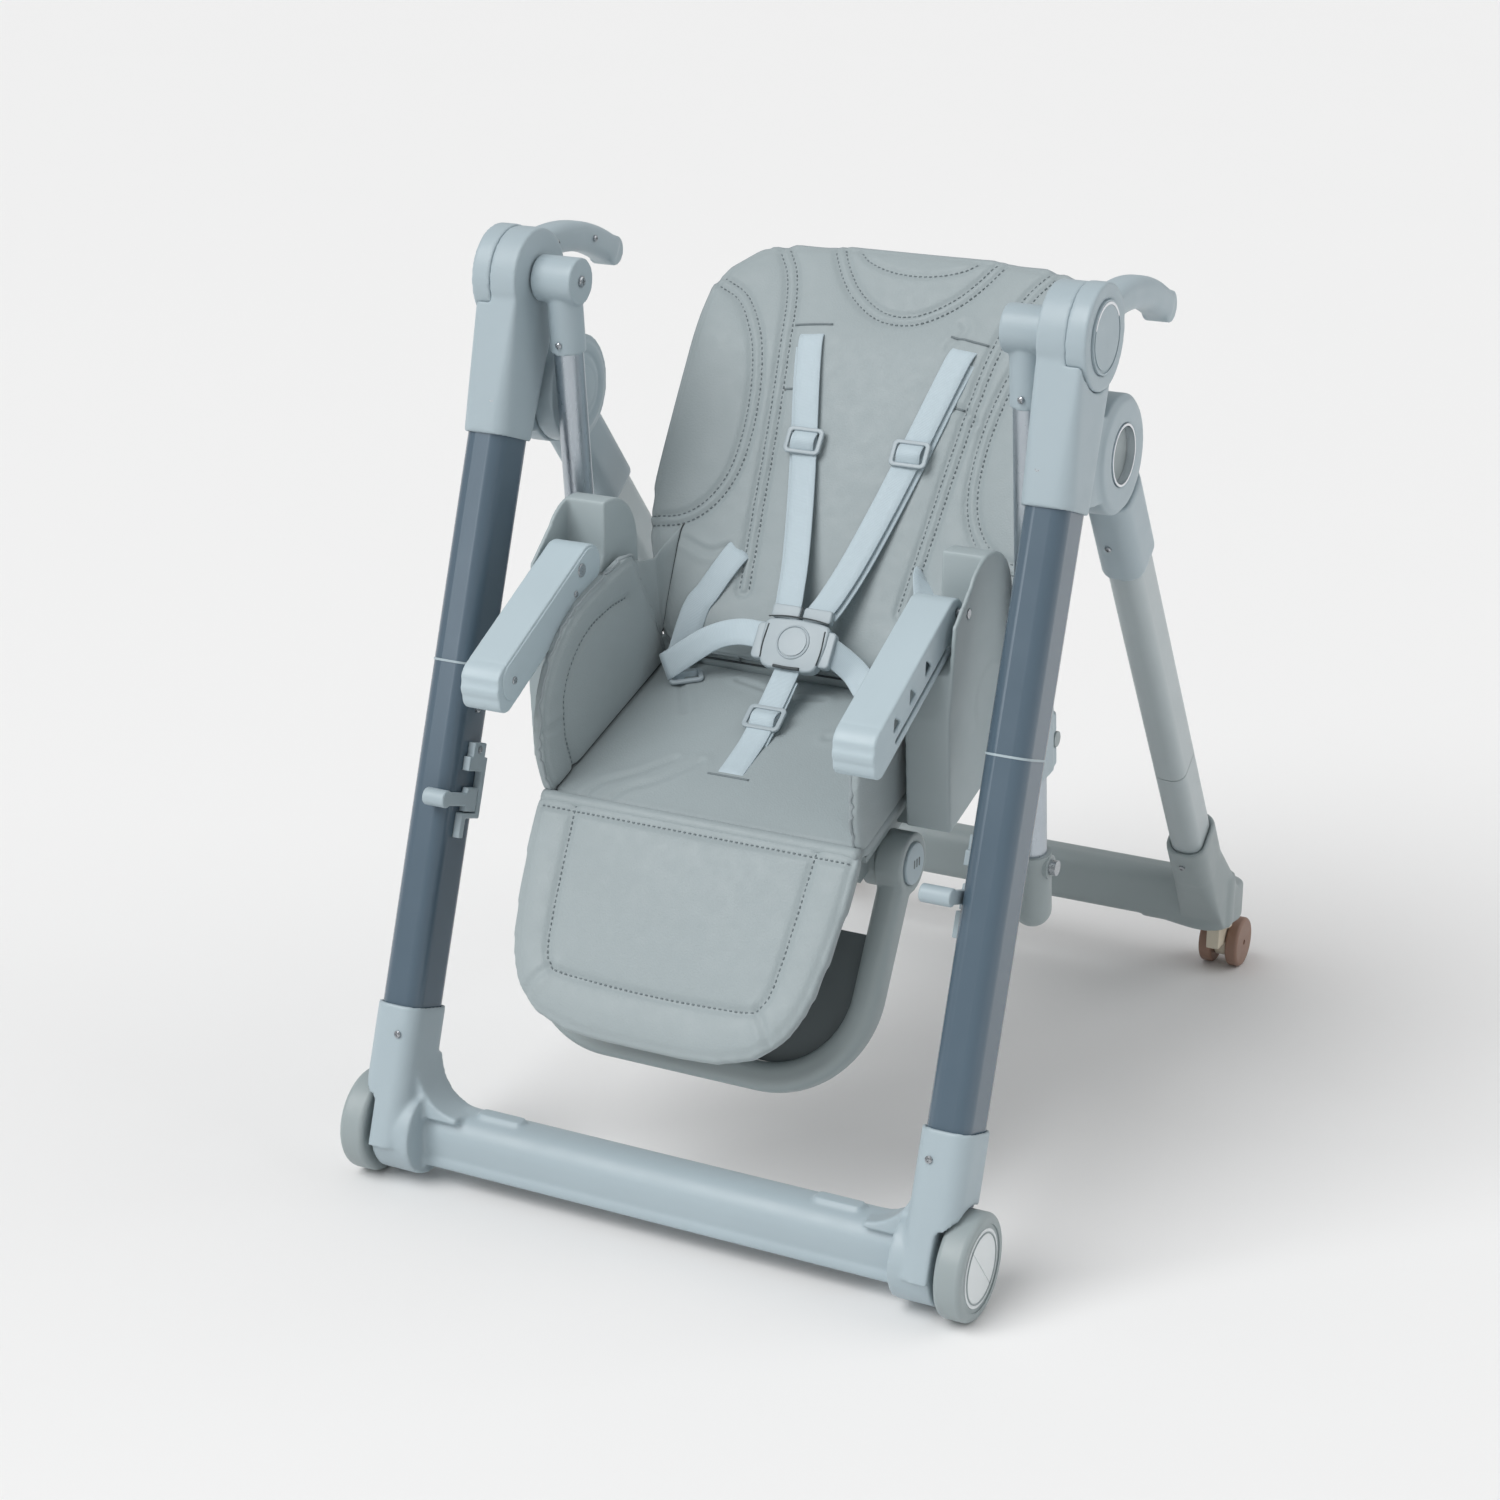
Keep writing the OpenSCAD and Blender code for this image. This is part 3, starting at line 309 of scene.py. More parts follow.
FINISHES = {
    "pale": ["front_crossbar", "leg_cover_left", "leg_cover_right", "handle_left", "handle_right",
             "hub_caps", "latch_brackets", "latch_slider_left", "latch_slider_right",
             "front_leg_rings", "rear_hub_left", "rear_hub_right", "t_joints", "sliders",
             "recline_handle"],
    "light": ["armrest_left", "armrest_right"],
    "grey": ["fold_button_left", "fold_button_right", "rear_base", "height_button_left",
             "height_button_right", "back_shell", "seat_shell", "leg_frame", "hanger_sleeves",
             "front_leg_spigots", "wheel_rim_left", "wheel_rim_right", "wheel_tyre_left",
             "wheel_tyre_right"],
    "bracket": ["side_brackets"],
    "buckle": ["strap_adjusters", "buckle", "buckle_button"],
    "dark": ["leg_panel"],
    "slate": ["front_leg_lowers", "front_leg_uppers"],
    "rear": ["rear_leg_uppers", "rear_leg_lowers"],
    "tube": ["hanger_tubes"],
    "steel": ["front_axles", "fold_pins", "swing_pins", "armrest_pins", "front_screws",
              "rear_screws"],
    "chrome": ["bright_trims"],
    "castor": ["castor_wheels_left", "castor_wheels_right"],
    "cream": ["castor_block_left", "castor_block_right"],
    "cap": ["wheel_cap_left", "wheel_cap_right"],
}


def paint(piece, finish):
    piece.data.materials.clear()
    piece.data.materials.append(materials[finish])


for finish, names in FINISHES.items():
    for name in names:
        paint(nodes[name], finish)


def soften(name, voxel, passes):
    """Rounds the edges and blends of a moulded CAD node with modifiers, its own mesh untouched."""
    piece = nodes[name]
    weld = piece.modifiers.new("weld", "WELD")
    weld.merge_threshold = 1e-5
    remesh = piece.modifiers.new("skin", "REMESH")
    remesh.mode = "VOXEL"
    remesh.voxel_size = voxel
    remesh.use_smooth_shade = True
    smooth = piece.modifiers.new("edges", "SMOOTH")
    smooth.factor = 0.6
    smooth.iterations = passes


# Remesh size in metres of each moulded node
SOFTENED = {
    0.0020: ["front_crossbar", "rear_base"],
    0.0016: ["leg_cover_left", "leg_cover_right", "handle_left", "handle_right", "side_brackets",
             "rear_hub_left", "rear_hub_right", "leg_frame"],
    0.0012: ["armrest_left", "armrest_right", "t_joints", "sliders", "recline_handle"],
    0.0008: ["latch_brackets", "latch_slider_left", "latch_slider_right", "castor_block_left",
             "castor_block_right"],
}
for voxel, names in SOFTENED.items():
    for name in names:
        soften(name, voxel * (1), 6)


# ---- Mesh building ----


def new_piece(name, verts, faces, finish):
    mesh = bpy.data.meshes.new(name)
    mesh.from_pydata(np.asarray(verts, float).tolist(), [], faces)
    mesh.polygons.foreach_set("use_smooth", [True] * len(mesh.polygons))
    mesh.update()
    piece = bpy.data.objects.new(name, mesh)
    scene.collection.objects.link(piece)
    paint(piece, finish)
    face_out(piece)
    return piece


def face_out(piece):
    """Turns every face outwards, since some of the places mirror what they are given."""
    mesh = bmesh.new()
    mesh.from_mesh(piece.data)
    bmesh.ops.recalc_face_normals(mesh, faces=mesh.faces)
    mesh.to_mesh(piece.data)
    mesh.free()


def prism(outline, low, high):
    """Points and faces of an outline drawn up from one height to another."""
    n = len(outline)
    verts = [(x, y, z) for z in (low, high) for x, y in outline]
    faces = [tuple(reversed(range(n))), tuple(range(n, 2 * n))]
    faces += [(i, (i + 1) % n, n + (i + 1) % n, n + i) for i in range(n)]
    return np.array(verts, float), faces


def attach(pieces, body):
    """Puts the pieces on the body they ride on."""
    for piece in pieces:
        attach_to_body(piece, body)


def applied(piece):
    """Replaces the piece's mesh by what its modifiers make of it."""
    graph = bpy.context.evaluated_depsgraph_get()
    mesh = bpy.data.meshes.new_from_object(piece.evaluated_get(graph))
    piece.modifiers.clear()
    piece.data = mesh
    mesh.polygons.foreach_set("use_smooth", [True] * len(mesh.polygons))
    return piece


def get_points(piece):
    co = np.zeros(len(piece.data.vertices) * 3)
    piece.data.vertices.foreach_get("co", co)
    return co.reshape(-1, 3)


def set_points(piece, co):
    piece.data.vertices.foreach_set("co", co.ravel())
    piece.data.update()


def curve(points, step=3.0, closed=False):
    """A smooth line through the points, in steps of about step mm."""
    p = np.asarray(points, float)
    n = len(p)
    runs = n if closed else n - 1
    out = []
    for i in range(runs):
        if closed:
            a, b, c, d = (p[(i + k) % n] for k in (-1, 0, 1, 2))
        else:
            b, c = p[i], p[i + 1]
            a = p[i - 1] if i else 2 * b - c
            d = p[i + 2] if i + 2 < n else 2 * c - b
        count = max(2, int(np.linalg.norm(c - b) / step))
        t = (np.arange(count) / count)[:, None]
        out.append(0.5 * (2 * b + (c - a) * t + (2 * a - 5 * b + 4 * c - d) * t**2
                          + (3 * b - a - 3 * c + d) * t**3))
    if not closed:
        out.append(p[-1:])
    return np.concatenate(out)


def spaced(line, pitch):
    """Points at an even pitch along a line, and the line's direction at each."""
    line = np.asarray(line, float)
    seg = np.linalg.norm(np.diff(line, axis=0), axis=1)
    at = np.concatenate([[0], np.cumsum(seg)])
    where = np.arange(pitch / 2, at[-1], pitch)
    points, ahead, behind = (
        np.stack([np.interp(where + shift, at, line[:, k]) for k in range(line.shape[1])], 1)
        for shift in (0, 0.3, -0.3))
    way = ahead - behind
    return points, way / np.maximum(np.linalg.norm(way, axis=1, keepdims=True), 1e-9)


def beside(line, distance):
    """The line moved sideways by a distance, to its left."""
    line = np.asarray(line, float)
    way = np.gradient(line, axis=0)
    way /= np.maximum(np.linalg.norm(way, axis=1, keepdims=True), 1e-9)
    return line + distance * columns(-way[:, 1], way[:, 0], 0)[:, :2]


def flip(line):
    """The line mirrored to the other side of the chair."""
    return np.asarray(line, float) * [-1, 1]


def both_sides(lines):
    return [*lines, *(flip(line) for line in lines)]


def distance_to(points, lines):
    """Distance of each 2-D point from the nearest of the lines, in the same unit."""
    best = np.full(len(points), 1e9)
    for line in lines:
        a, b = line[:-1], line[1:]
        ab = b - a
        length = np.maximum((ab**2).sum(1), 1e-12)
        for start in range(0, len(points), 20000):
            p = points[start:start + 20000, None, :]
            t = np.clip(((p - a) * ab).sum(2) / length, 0, 1)
            d = np.linalg.norm(p - a - t[..., None] * ab, axis=2).min(1)
            best[start:start + 20000] = np.minimum(best[start:start + 20000], d)
    return best


def tube(name, line, radius, finish, closed=False, sides=8):
    """A round tube along a line of points in metres."""
    p = np.asarray(line, float)
    if closed:
        way = np.roll(p, -1, 0) - np.roll(p, 1, 0)
    else:
        way = np.gradient(p, axis=0)
    way /= np.linalg.norm(way, axis=1, keepdims=True)
    seed = np.array([1.0, 0, 0]) if abs(way[0][0]) < 0.8 else np.array([0, 0, 1.0])
    normals = []
    for w in way:
        seed = seed - w * (seed @ w)
        seed = seed / np.linalg.norm(seed)
        normals.append(seed)
    normals = np.array(normals)
    across = np.cross(way, normals)
    angle = np.arange(sides) * 2 * np.pi / sides
    ring = np.cos(angle)[:, None] * normals[:, None] + np.sin(angle)[:, None] * across[:, None]
    verts = (p[:, None] + radius * ring).reshape(-1, 3)
    n = len(p)
    faces = []
    for i in range(n if closed else n - 1):
        j = (i + 1) % n
        for k in range(sides):
            m = (k + 1) % sides
            faces.append((i * sides + k, j * sides + k, j * sides + m, i * sides + m))
    if not closed:
        faces.append(tuple(reversed(range(sides))))
        faces.append(tuple((n - 1) * sides + k for k in range(sides)))
    return new_piece(name, verts, faces, finish)


# ---- Pads ----

# In mm, apart from the air pressure in a pad and the frames that its cloth settles over
PAD_VOXEL = 5.0
CROWN_RISE = 26
CHANNEL = 5.2
ROW_OFFSET = 4.6
STITCH_PITCH = 5.0
STITCH = 3.4
STITCH_R = 0.75
SWELL = 4.0
SETTLING = 20
ABOVE_ALL = 200.0


def pad_body(outline, low, high, name):
    """An extruded outline, remeshed evenly and rounded at its edges, in mm."""
    verts, faces = prism(outline, low, high)
    piece = new_piece(name, verts * MM, faces, "leather")
    remesh = piece.modifiers.new("skin", "REMESH")
    remesh.mode = "VOXEL"
    remesh.voxel_size = PAD_VOXEL * MM
    smooth = piece.modifiers.new("round", "SMOOTH")
    smooth.factor = 0.5
    smooth.iterations = 6
    return applied(piece)


def inflate(piece, pinned, limit):
    """Cloth with air pressure inside and pinned seams; no point moves further than the limit."""
    start = get_points(piece)
    group = piece.vertex_groups.new(name="pin")
    group.add(np.nonzero(pinned)[0].tolist(), 1.0, "REPLACE")
    cloth = piece.modifiers.new("cloth", "CLOTH")
    settings = cloth.settings
    settings.quality = 4
    settings.mass = 0.15
    settings.tension_stiffness = 12
    settings.compression_stiffness = 12
    settings.shear_stiffness = 6
    settings.bending_stiffness = 0.6
    settings.use_pressure = True
    settings.uniform_pressure_force = SWELL
    settings.vertex_group_mass = "pin"
    settings.effector_weights.gravity = 0
    for frame_number in range(1, SETTLING + 1):
        scene.frame_set(frame_number)
    applied(piece)
    scene.frame_set(1)
    piece.vertex_groups.clear()
    move = get_points(piece) - start
    size = np.linalg.norm(move, axis=1, keepdims=True)
    move *= limit * np.tanh(size / limit) / np.maximum(size, 1e-9)
    set_points(piece, start + move)


def bell(distance, width, at=0.0):
    """A smooth ridge: 1 at that distance from a line, and near 0 two widths from there."""
    return np.exp(-((distance - at) / width) ** 2)


def pad(name, outline, low, high, seams, place, crown, *, pins=(), stitches=(), folds=(),
        limit=7.0, node=None, piping=True):
    """A padded cover: seams are double-stitched lines that hold the cover down, folds are soft
    creases, and the crown is how far the front swells between them. All in mm."""
    piece = pad_body(outline, low, high, name)
    co = get_points(piece) / MM
    middle = (low + high) / 2
    front = co[:, 2] > middle
    closed = np.vstack([outline, outline[:1]])
    held = [*seams, *pins]
    rim = distance_to(co[:, :2], [closed])
    near = distance_to(co[:, :2], held) if held else np.full(len(co), 1e9)
    reach = np.minimum(rim, near)
    lift = crown * (1 - np.exp(-np.clip(reach - 2, 0, None) / CROWN_RISE))
    co[:, 2] += np.where(front, lift, 0)
    set_points(piece, co * MM)
    inflate(piece, (near < 3.5) | ~front | (rim < 4), limit * MM)
    split = piece.modifiers.new("finer", "SUBSURF")
    split.levels = split.render_levels = 1
    applied(piece)
    co = get_points(piece) / MM
    front = np.clip((co[:, 2] - middle) / 3, 0, 1)
    rim = distance_to(co[:, :2], [closed])
    if seams:
        d = distance_to(co[:, :2], seams)
        co[:, 2] += front * (1.2 * bell(d, 2.6) - 2.2 * bell(d, 2.4, CHANNEL))
    if stitches:
        d = distance_to(co[:, :2], stitches)
        co[:, 2] -= front * 2.4 * bell(d, 3.0)
    if folds:
        d = distance_to(co[:, :2], folds)
        co[:, 2] -= front * 1.3 * bell(d, 3.2)
        co[:, 2] += front * 0.9 * bell(d, 4.5, 7)
    co[:, 2] -= front * 1.4 * bell(rim, 2, 6)
    set_points(piece, co * MM)
    surface = BVHTree.FromPolygons([Vector(v) for v in co],
                                   [tuple(f.vertices) for f in piece.data.polygons])
    rows = [*stitches]
    for line in seams:
        rows += [beside(line, ROW_OFFSET), beside(line, -ROW_OFFSET)]
    extras = []
    if rows:
        extras.append(stitching(f"{name}_stitches", rows, surface, place))
    if piping:
        edge = inset(curve(outline, 4, closed=True), 1.6)
        top = np.array([height_at(surface, x, y, high - 2) for x, y in edge])
        welt = columns(edge[:, 0], edge[:, 1], np.minimum(top, high + 1.0) - 0.7)
        extras.append(tube(f"{name}_piping", place(welt), 1.5 * MM, "piping", closed=True))
    set_points(piece, place(co))
    face_out(piece)
    if node:
        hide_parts(node)
    return piece, extras, surface


def inset(line, distance):
    """A closed line moved inwards by a distance."""
    way = np.roll(line, -1, 0) - np.roll(line, 1, 0)
    way /= np.maximum(np.linalg.norm(way, axis=1, keepdims=True), 1e-9)
    normal = columns(-way[:, 1], way[:, 0], 0)[:, :2]
    x, y = line.T
    area = (x * np.roll(y, -1) - np.roll(x, -1) * y).sum()
    return line + normal * distance * np.sign(area)


def height_at(surface, x, y, default):
    """A pad's height in mm above a point, or the default beside the pad."""
    hit = surface.ray_cast(Vector((x, y, ABOVE_ALL)), Vector((0, 0, -1)))
    return hit[0].z if hit[0] is not None else default


def stitching(name, rows, surface, place):
    """Thread as short rounded stitches that lie on a pad's front along each row."""
    verts, faces = [], []
    profile = [(-1.0, 0.0), (-0.62, 1.0), (0.62, 1.0), (1.0, 0.0)]
    sides = 6
    for row in rows:
        at, way = spaced(row, STITCH_PITCH)
        for (x, y), (a, b) in zip(at, way):
            z = height_at(surface, x, y, None)
            if z is None:
                continue
            base = len(verts)
            verts.append((x - a * STITCH / 2, y - b * STITCH / 2, z - 0.1))
            for along, wide in profile[1:3]:
                for k in range(sides):
                    t = 2 * np.pi * k / sides
                    side = STITCH_R * wide * np.cos(t)
                    verts.append((x + a * along * STITCH / 2 - b * side,
                                  y + b * along * STITCH / 2 + a * side,
                                  z + 0.25 + 0.6 * wide * np.sin(t)))
            verts.append((x + a * STITCH / 2, y + b * STITCH / 2, z - 0.1))
            last = base + 2 * sides + 1
            for k in range(sides):
                m = (k + 1) % sides
                faces.append((base, base + 1 + m, base + 1 + k))
                faces.append((base + 1 + k, base + 1 + m, base + 1 + sides + m, base + 1 + sides + k))
                faces.append((base + 1 + sides + k, base + 1 + sides + m, last))
    return new_piece(name, place(np.array(verts)), faces, "thread_and_shade")


def arc(cx, cy, r, start, end, count=12):
    """Points on a circle from one angle to another, in degrees."""
    a = np.radians(np.linspace(start, end, count))
    return np.stack([cx + r * np.cos(a), cy + r * np.sin(a)], 1)


def mirrored(half):
    """A closed outline from its right half, which starts at the bottom middle and goes up."""
    half = np.asarray(half, float)
    return np.vstack([half, flip(half)[::-1]])


# ---- Backrest ----

BACK_LOW, BACK_HIGH = -12, 15
back_half = np.vstack([
    curve([(60, -2), (120, -1), (146, 6), (160, 30), (176, 70), (190, 112), (197, 160), (199, 220),
           (199, 290)], 6),
    arc(117, 326, 82, 0, 62),
    curve([(150, 400), (120, 407), (60, 412), (6, 413.5)], 8),
])
back_outline = mirrored(back_half)
back_seams = both_sides([
    curve([(194, 112), (160, 119), (137, 137), (122, 166), (117, 205), (120, 250), (129, 291), (143, 318),
           (162, 341), (186, 353)]),
    curve([(80, 62), (83, 98), (87, 141), (91, 190), (96, 241), (102, 292), (111, 340), (122, 374),
           (136, 396)]),
])
back_seams.append(curve([(-82, 405), (-70, 384), (-54, 363), (-33, 346), (-12, 337), (12, 337), (33, 346),
                         (54, 363), (70, 384), (82, 405)]))
head_arc = curve([(-60, 405), (-48, 395), (-26, 387), (0, 384), (26, 387), (48, 395), (60, 405)])
back_folds = [curve([(-150, 100), (-122, 92), (-104, 100)]), curve([(60, 312), (72, 330), (66, 338)]),
              curve([(104, 246), (92, 255), (58, 262)])]
back_pad, back_extras, back_surface = pad(
    "back_pad", back_outline, BACK_LOW, BACK_HIGH, back_seams, back_place, 5, stitches=[head_arc],
    folds=back_folds, node="back_cushion", limit=8)
attach((back_pad, *back_extras), "backrest")

# ---- Seat pan ----

pan_outline = mirrored(np.vstack([
    curve([(60, 4), (140, 3), (152, 9), (155, 20)], 6),
    curve([(155, 60), (156, 120), (156, 180), (155, 222)], 8),
    curve([(151, 228), (140, 231), (60, 232)], 6),
]))
pan_folds = [
    curve([(-118, 230), (-108, 206), (-84, 188), (-58, 160)]),
    curve([(-96, 230), (-82, 208), (-58, 190), (-34, 158)]),
    curve([(-150, 12), (-118, 40), (-84, 92)]),
    curve([(-60, 30), (0, 44), (30, 40)]),
    curve([(60, 96), (98, 78), (140, 70)]),
]
pan_pad, pan_extras, pan_surface = pad(
    "pan_pad", pan_outline, -16, -3, [], pan_place, 3, folds=pan_folds, node="seat_cushion",
    limit=6, piping=False)
attach((pan_pad, *pan_extras), "seat")

# ---- Leg cushion ----

LEG_L = 200
leg_outline = mirrored(np.vstack([
    curve([(40, LEG_L - 1), (74, LEG_L - 4)], 8),
    curve([(104, LEG_L - 13), (128, LEG_L - 34), (143, LEG_L - 66), (151, 90), (155, 50), (157, 2)], 6),
    curve([(150, -3), (60, -4)], 8),
]))
leg_rect = curve([(-117, 2), (-115, 40), (-112, 90), (-108, 128), (-101, 143), (-86, 149), (0, 152),
                  (86, 149), (101, 143), (108, 128), (112, 90), (115, 40), (117, 2)])
leg_seam_top = curve([(-150, 9), (0, 9), (150, 9)])
leg_corners = both_sides([curve([(101, 146), (112, 160), (120, 178)])])
leg_pad, leg_extras, leg_surface = pad(
    "leg_cushion", leg_outline, -6, 8, [], leg_place, 4, pins=[leg_rect], stitches=[leg_rect, leg_seam_top],
    folds=leg_corners, node="leg_pad", limit=6, piping=False)
attach((leg_pad, *leg_extras), "leg_pad")

# The roll of cover over the front seam, round the leg cushion's own axis
seam_x = np.linspace(-153, 153, 61)
seam_line = columns(seam_x * MM, LEG_SEAM[1], LEG_SEAM[2])
seam_roll = tube("front_seam_roll", seam_line, 7 * MM, "leather", sides=20)
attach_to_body(seam_roll, "seat")

# ---- Side wings and gussets ----

wing_outline = np.vstack([
    curve([(14, -9), (60, -9), (120, -9), (180, -9), (222, -9)], 8),
    curve([(230, 0), (233, 28), (225, 60), (207, 90), (178, 114), (146, 127), (118, 131), (80, 130),
           (46, 127), (30, 122), (25, 112), (20, 80), (12, 40), (8, 6)], 6),
])
wing_seam = curve([(190, -4), (191, 30), (185, 56), (169, 78), (146, 92), (118, 99), (84, 97), (54, 90)])
wing_short = curve([(193, 50), (224, 58)])
for side_name, side in SIDES:
    wing, wing_extras, wing_surface = pad(
        f"wing_{side_name}", wing_outline, -6, 5, [], wing_place(side), 4, pins=[wing_seam],
        stitches=[wing_seam], folds=[wing_short], limit=5)
    forward = np.linspace(10, 226, 60)
    above = np.array([height_at(pan_surface, side * 138, f, 0) for f in forward]) + 0.6
    inner = np.array([height_at(wing_surface, f, z, 6) for f, z in zip(forward, above)])
    foot_shade_line = wing_place(side)(columns(forward, above, inner))
    # A dark tube along the wing's foot: painted shadow in the join of wing and pan.
    wing_extras.append(tube(f"wing_seam_{side_name}", foot_shade_line, 0.9 * MM, "seam"))
    attach((wing, *wing_extras), "seat")
    if side < 0:
        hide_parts("side_wings")

# The cover behind the crease, where the back meets the pan
crease_x = np.linspace(-158, 158, 61)
crease_roll = tube("crease_roll", pan_place(columns(crease_x, -3, -3)), 13 * MM, "leather", sides=20)
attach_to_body(crease_roll, "seat")
# A dark tube along the crease: painted shadow where the back meets the pan.
crease_seam = tube("crease_seam", pan_place(columns(crease_x * 0.95, 9, 3.5)), 1.0 * MM, "seam")
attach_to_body(crease_seam, "seat")


def gusset(side, side_name):
    """The cover between a wing's rear edge and the back's side: slack, with one deep fold."""
    rise = np.linspace(0, 1, 22)
    span = np.linspace(0, 1, 13)
    wing_edge = wing_place(side)(columns(15 + 14 * rise, -8 + 125 * rise, 1.0))
    back_x, back_s = side * (WING_FOOT + 6 * rise), 3 + 112 * rise
    back_h = np.array([height_at(back_surface, a, b, 15) for a, b in zip(back_x, back_s)]) + 0.4
    back_edge = back_place(columns(back_x, back_s, back_h))
    slack = np.sin(np.pi * span)
    fold = 1 - np.abs(2 * span - 1)
    verts = []
    for i, u in enumerate(rise):
        for j, v in enumerate(span):
            p = wing_edge[i] * (1 - v) + back_edge[i] * v
            out = side * (0.010 * slack[j] - 0.007 * fold[j]**3) * u
            sag = 0.017 * slack[j] * u**4
            verts.append(p + np.array([out, 0, -sag]))
    wide = len(span)
    faces = [(i * wide + j, i * wide + j + 1, (i + 1) * wide + j + 1, (i + 1) * wide + j)
             for i in range(len(rise) - 1) for j in range(wide - 1)]
    piece = new_piece(f"gusset_{side_name}", verts, faces, "leather")
    thick = piece.modifiers.new("thick", "SOLIDIFY")
    thick.thickness = 0.003
    thick.offset = 0
    smooth = piece.modifiers.new("soft", "SUBSURF")
    smooth.levels = smooth.render_levels = 2
    applied(piece)
    # Dark tubes along both edges: painted shadow in the joins to the wing and to the back.
    edges = [tube(f"gusset_seam_wing_{side_name}", wing_edge, 0.9 * MM, "seam"),
             tube(f"gusset_seam_back_{side_name}", back_edge, 0.9 * MM, "seam")]
    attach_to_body(edges[0], "seat")
    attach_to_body(edges[1], "backrest")
    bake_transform(piece)


for side_name, side in SIDES:
    gusset(side, side_name)

# ---- Harness ----

STRAP_W, STRAP_T = 25.0, 1.5


def strap(name, path, across, width=STRAP_W):
    """Webbing along a path in metres; across is the direction of its width at each point."""
    line = curve(np.asarray(path) / MM, 3.0) * MM
    at_path = np.concatenate([[0], np.cumsum(np.linalg.norm(np.diff(path, axis=0), axis=1))])
    at_line = np.concatenate([[0], np.cumsum(np.linalg.norm(np.diff(line, axis=0), axis=1))])
    at_line = at_line * at_path[-1] / at_line[-1]
    across = np.asarray(across, float)
    sides = np.stack([np.interp(at_line, at_path, across[:, k]) for k in range(3)], 1)
    way = np.gradient(line, axis=0)
    way /= np.linalg.norm(way, axis=1, keepdims=True)
    sides -= way * (sides * way).sum(1, keepdims=True)
    sides /= np.linalg.norm(sides, axis=1, keepdims=True)
    up = np.cross(sides, way)
    cross = np.array([(-0.5, 0.0), (-0.47, 0.5), (-0.2, 0.5), (0.2, 0.5), (0.47, 0.5), (0.5, 0.0),
                      (0.47, -0.5), (0.2, -0.5), (-0.2, -0.5), (-0.47, -0.5)])
    verts = line[:, None] + sides[:, None] * (cross[:, 0] * width * MM)[:, None]
    verts = verts + up[:, None] * (cross[:, 1] * STRAP_T * MM)[:, None]
    n, m = len(line), len(cross)
    faces = [(i * m + k, i * m + (k + 1) % m, (i + 1) * m + (k + 1) % m, (i + 1) * m + k)
             for i in range(n - 1) for k in range(m)]
    faces += [tuple(range(m)), tuple((n - 1) * m + k for k in reversed(range(m)))]
    piece = new_piece(name, verts.reshape(-1, 3), faces, "webbing")
    layer = piece.data.uv_layers.new(name="weave")
    for loop in piece.data.loops:
        i, k = divmod(loop.vertex_index, m)
        layer.data[loop.index].uv = (cross[k][0] * width * MM, at_line[i])
    return piece


def rounded_loop(w, d, r, count=6):
    """A closed rounded rectangle in its own plane, in mm."""
    corners = [(w / 2 - r, d / 2 - r, 0), (-w / 2 + r, d / 2 - r, 90),
               (-w / 2 + r, -d / 2 + r, 180), (w / 2 - r, -d / 2 + r, 270)]
    return np.vstack([arc(x, y, r, a, a + 90, count) for x, y, a in corners])


def set_in(origin, across, along, points):
    """Points (across, along, up) in mm placed at an origin with these directions."""
    across = np.asarray(across, float) / np.linalg.norm(across)
    along = np.asarray(along, float)
    along = along - across * (along @ across)
    along /= np.linalg.norm(along)
    up = np.cross(across, along)
    p = np.asarray(points, float) * MM
    return np.asarray(origin) + p[..., :1] * across + p[..., 1:2] * along + p[..., 2:3] * up


def adjuster(name, origin, across, along, wide=37.0, long=26.0):
    """A strap adjuster: a flat rounded frame, and the webbing that is drawn over its middle bar."""
    outer = rounded_loop(wide, long, 5)
    inner = rounded_loop(wide - 9, long - 8, 2)
    n = len(outer)
    verts = [(x, y, z) for z in (-1.6, 1.6) for loop in (outer, inner) for x, y in loop]
    faces = []
    for k in range(n):
        m = (k + 1) % n
        faces += [(k, m, n + m, n + k), (2 * n + k, 3 * n + k, 3 * n + m, 2 * n + m),
                  (k, 2 * n + k, 2 * n + m, m), (n + k, n + m, 3 * n + m, 3 * n + k)]
    ring = new_piece(name, set_in(origin, across, along, verts), faces, "buckle")
    bevel = ring.modifiers.new("edge", "BEVEL")
    bevel.width = 1.1 * MM
    bevel.segments = 3
    applied(ring)
    arch = np.linspace(-1, 1, 9)
    rise = 4.2 * np.cos(arch * np.pi / 2) - 0.6
    over = set_in(origin, across, along, columns(0, arch * (long / 2 - 4), rise))
    band = strap(f"{name}_turn", over, np.array([across] * len(over)), width=24.0)
    return ring, band


BUCKLE = np.array([0.0, 0.254 - FOOT_MID, 0.476])
BUCKLE_TILT = np.radians(56)
buckle_up = np.array([0, np.cos(BUCKLE_TILT), np.sin(BUCKLE_TILT)])


def on_buckle(p):
    return set_in(BUCKLE, (1, 0, 0), buckle_up, p)


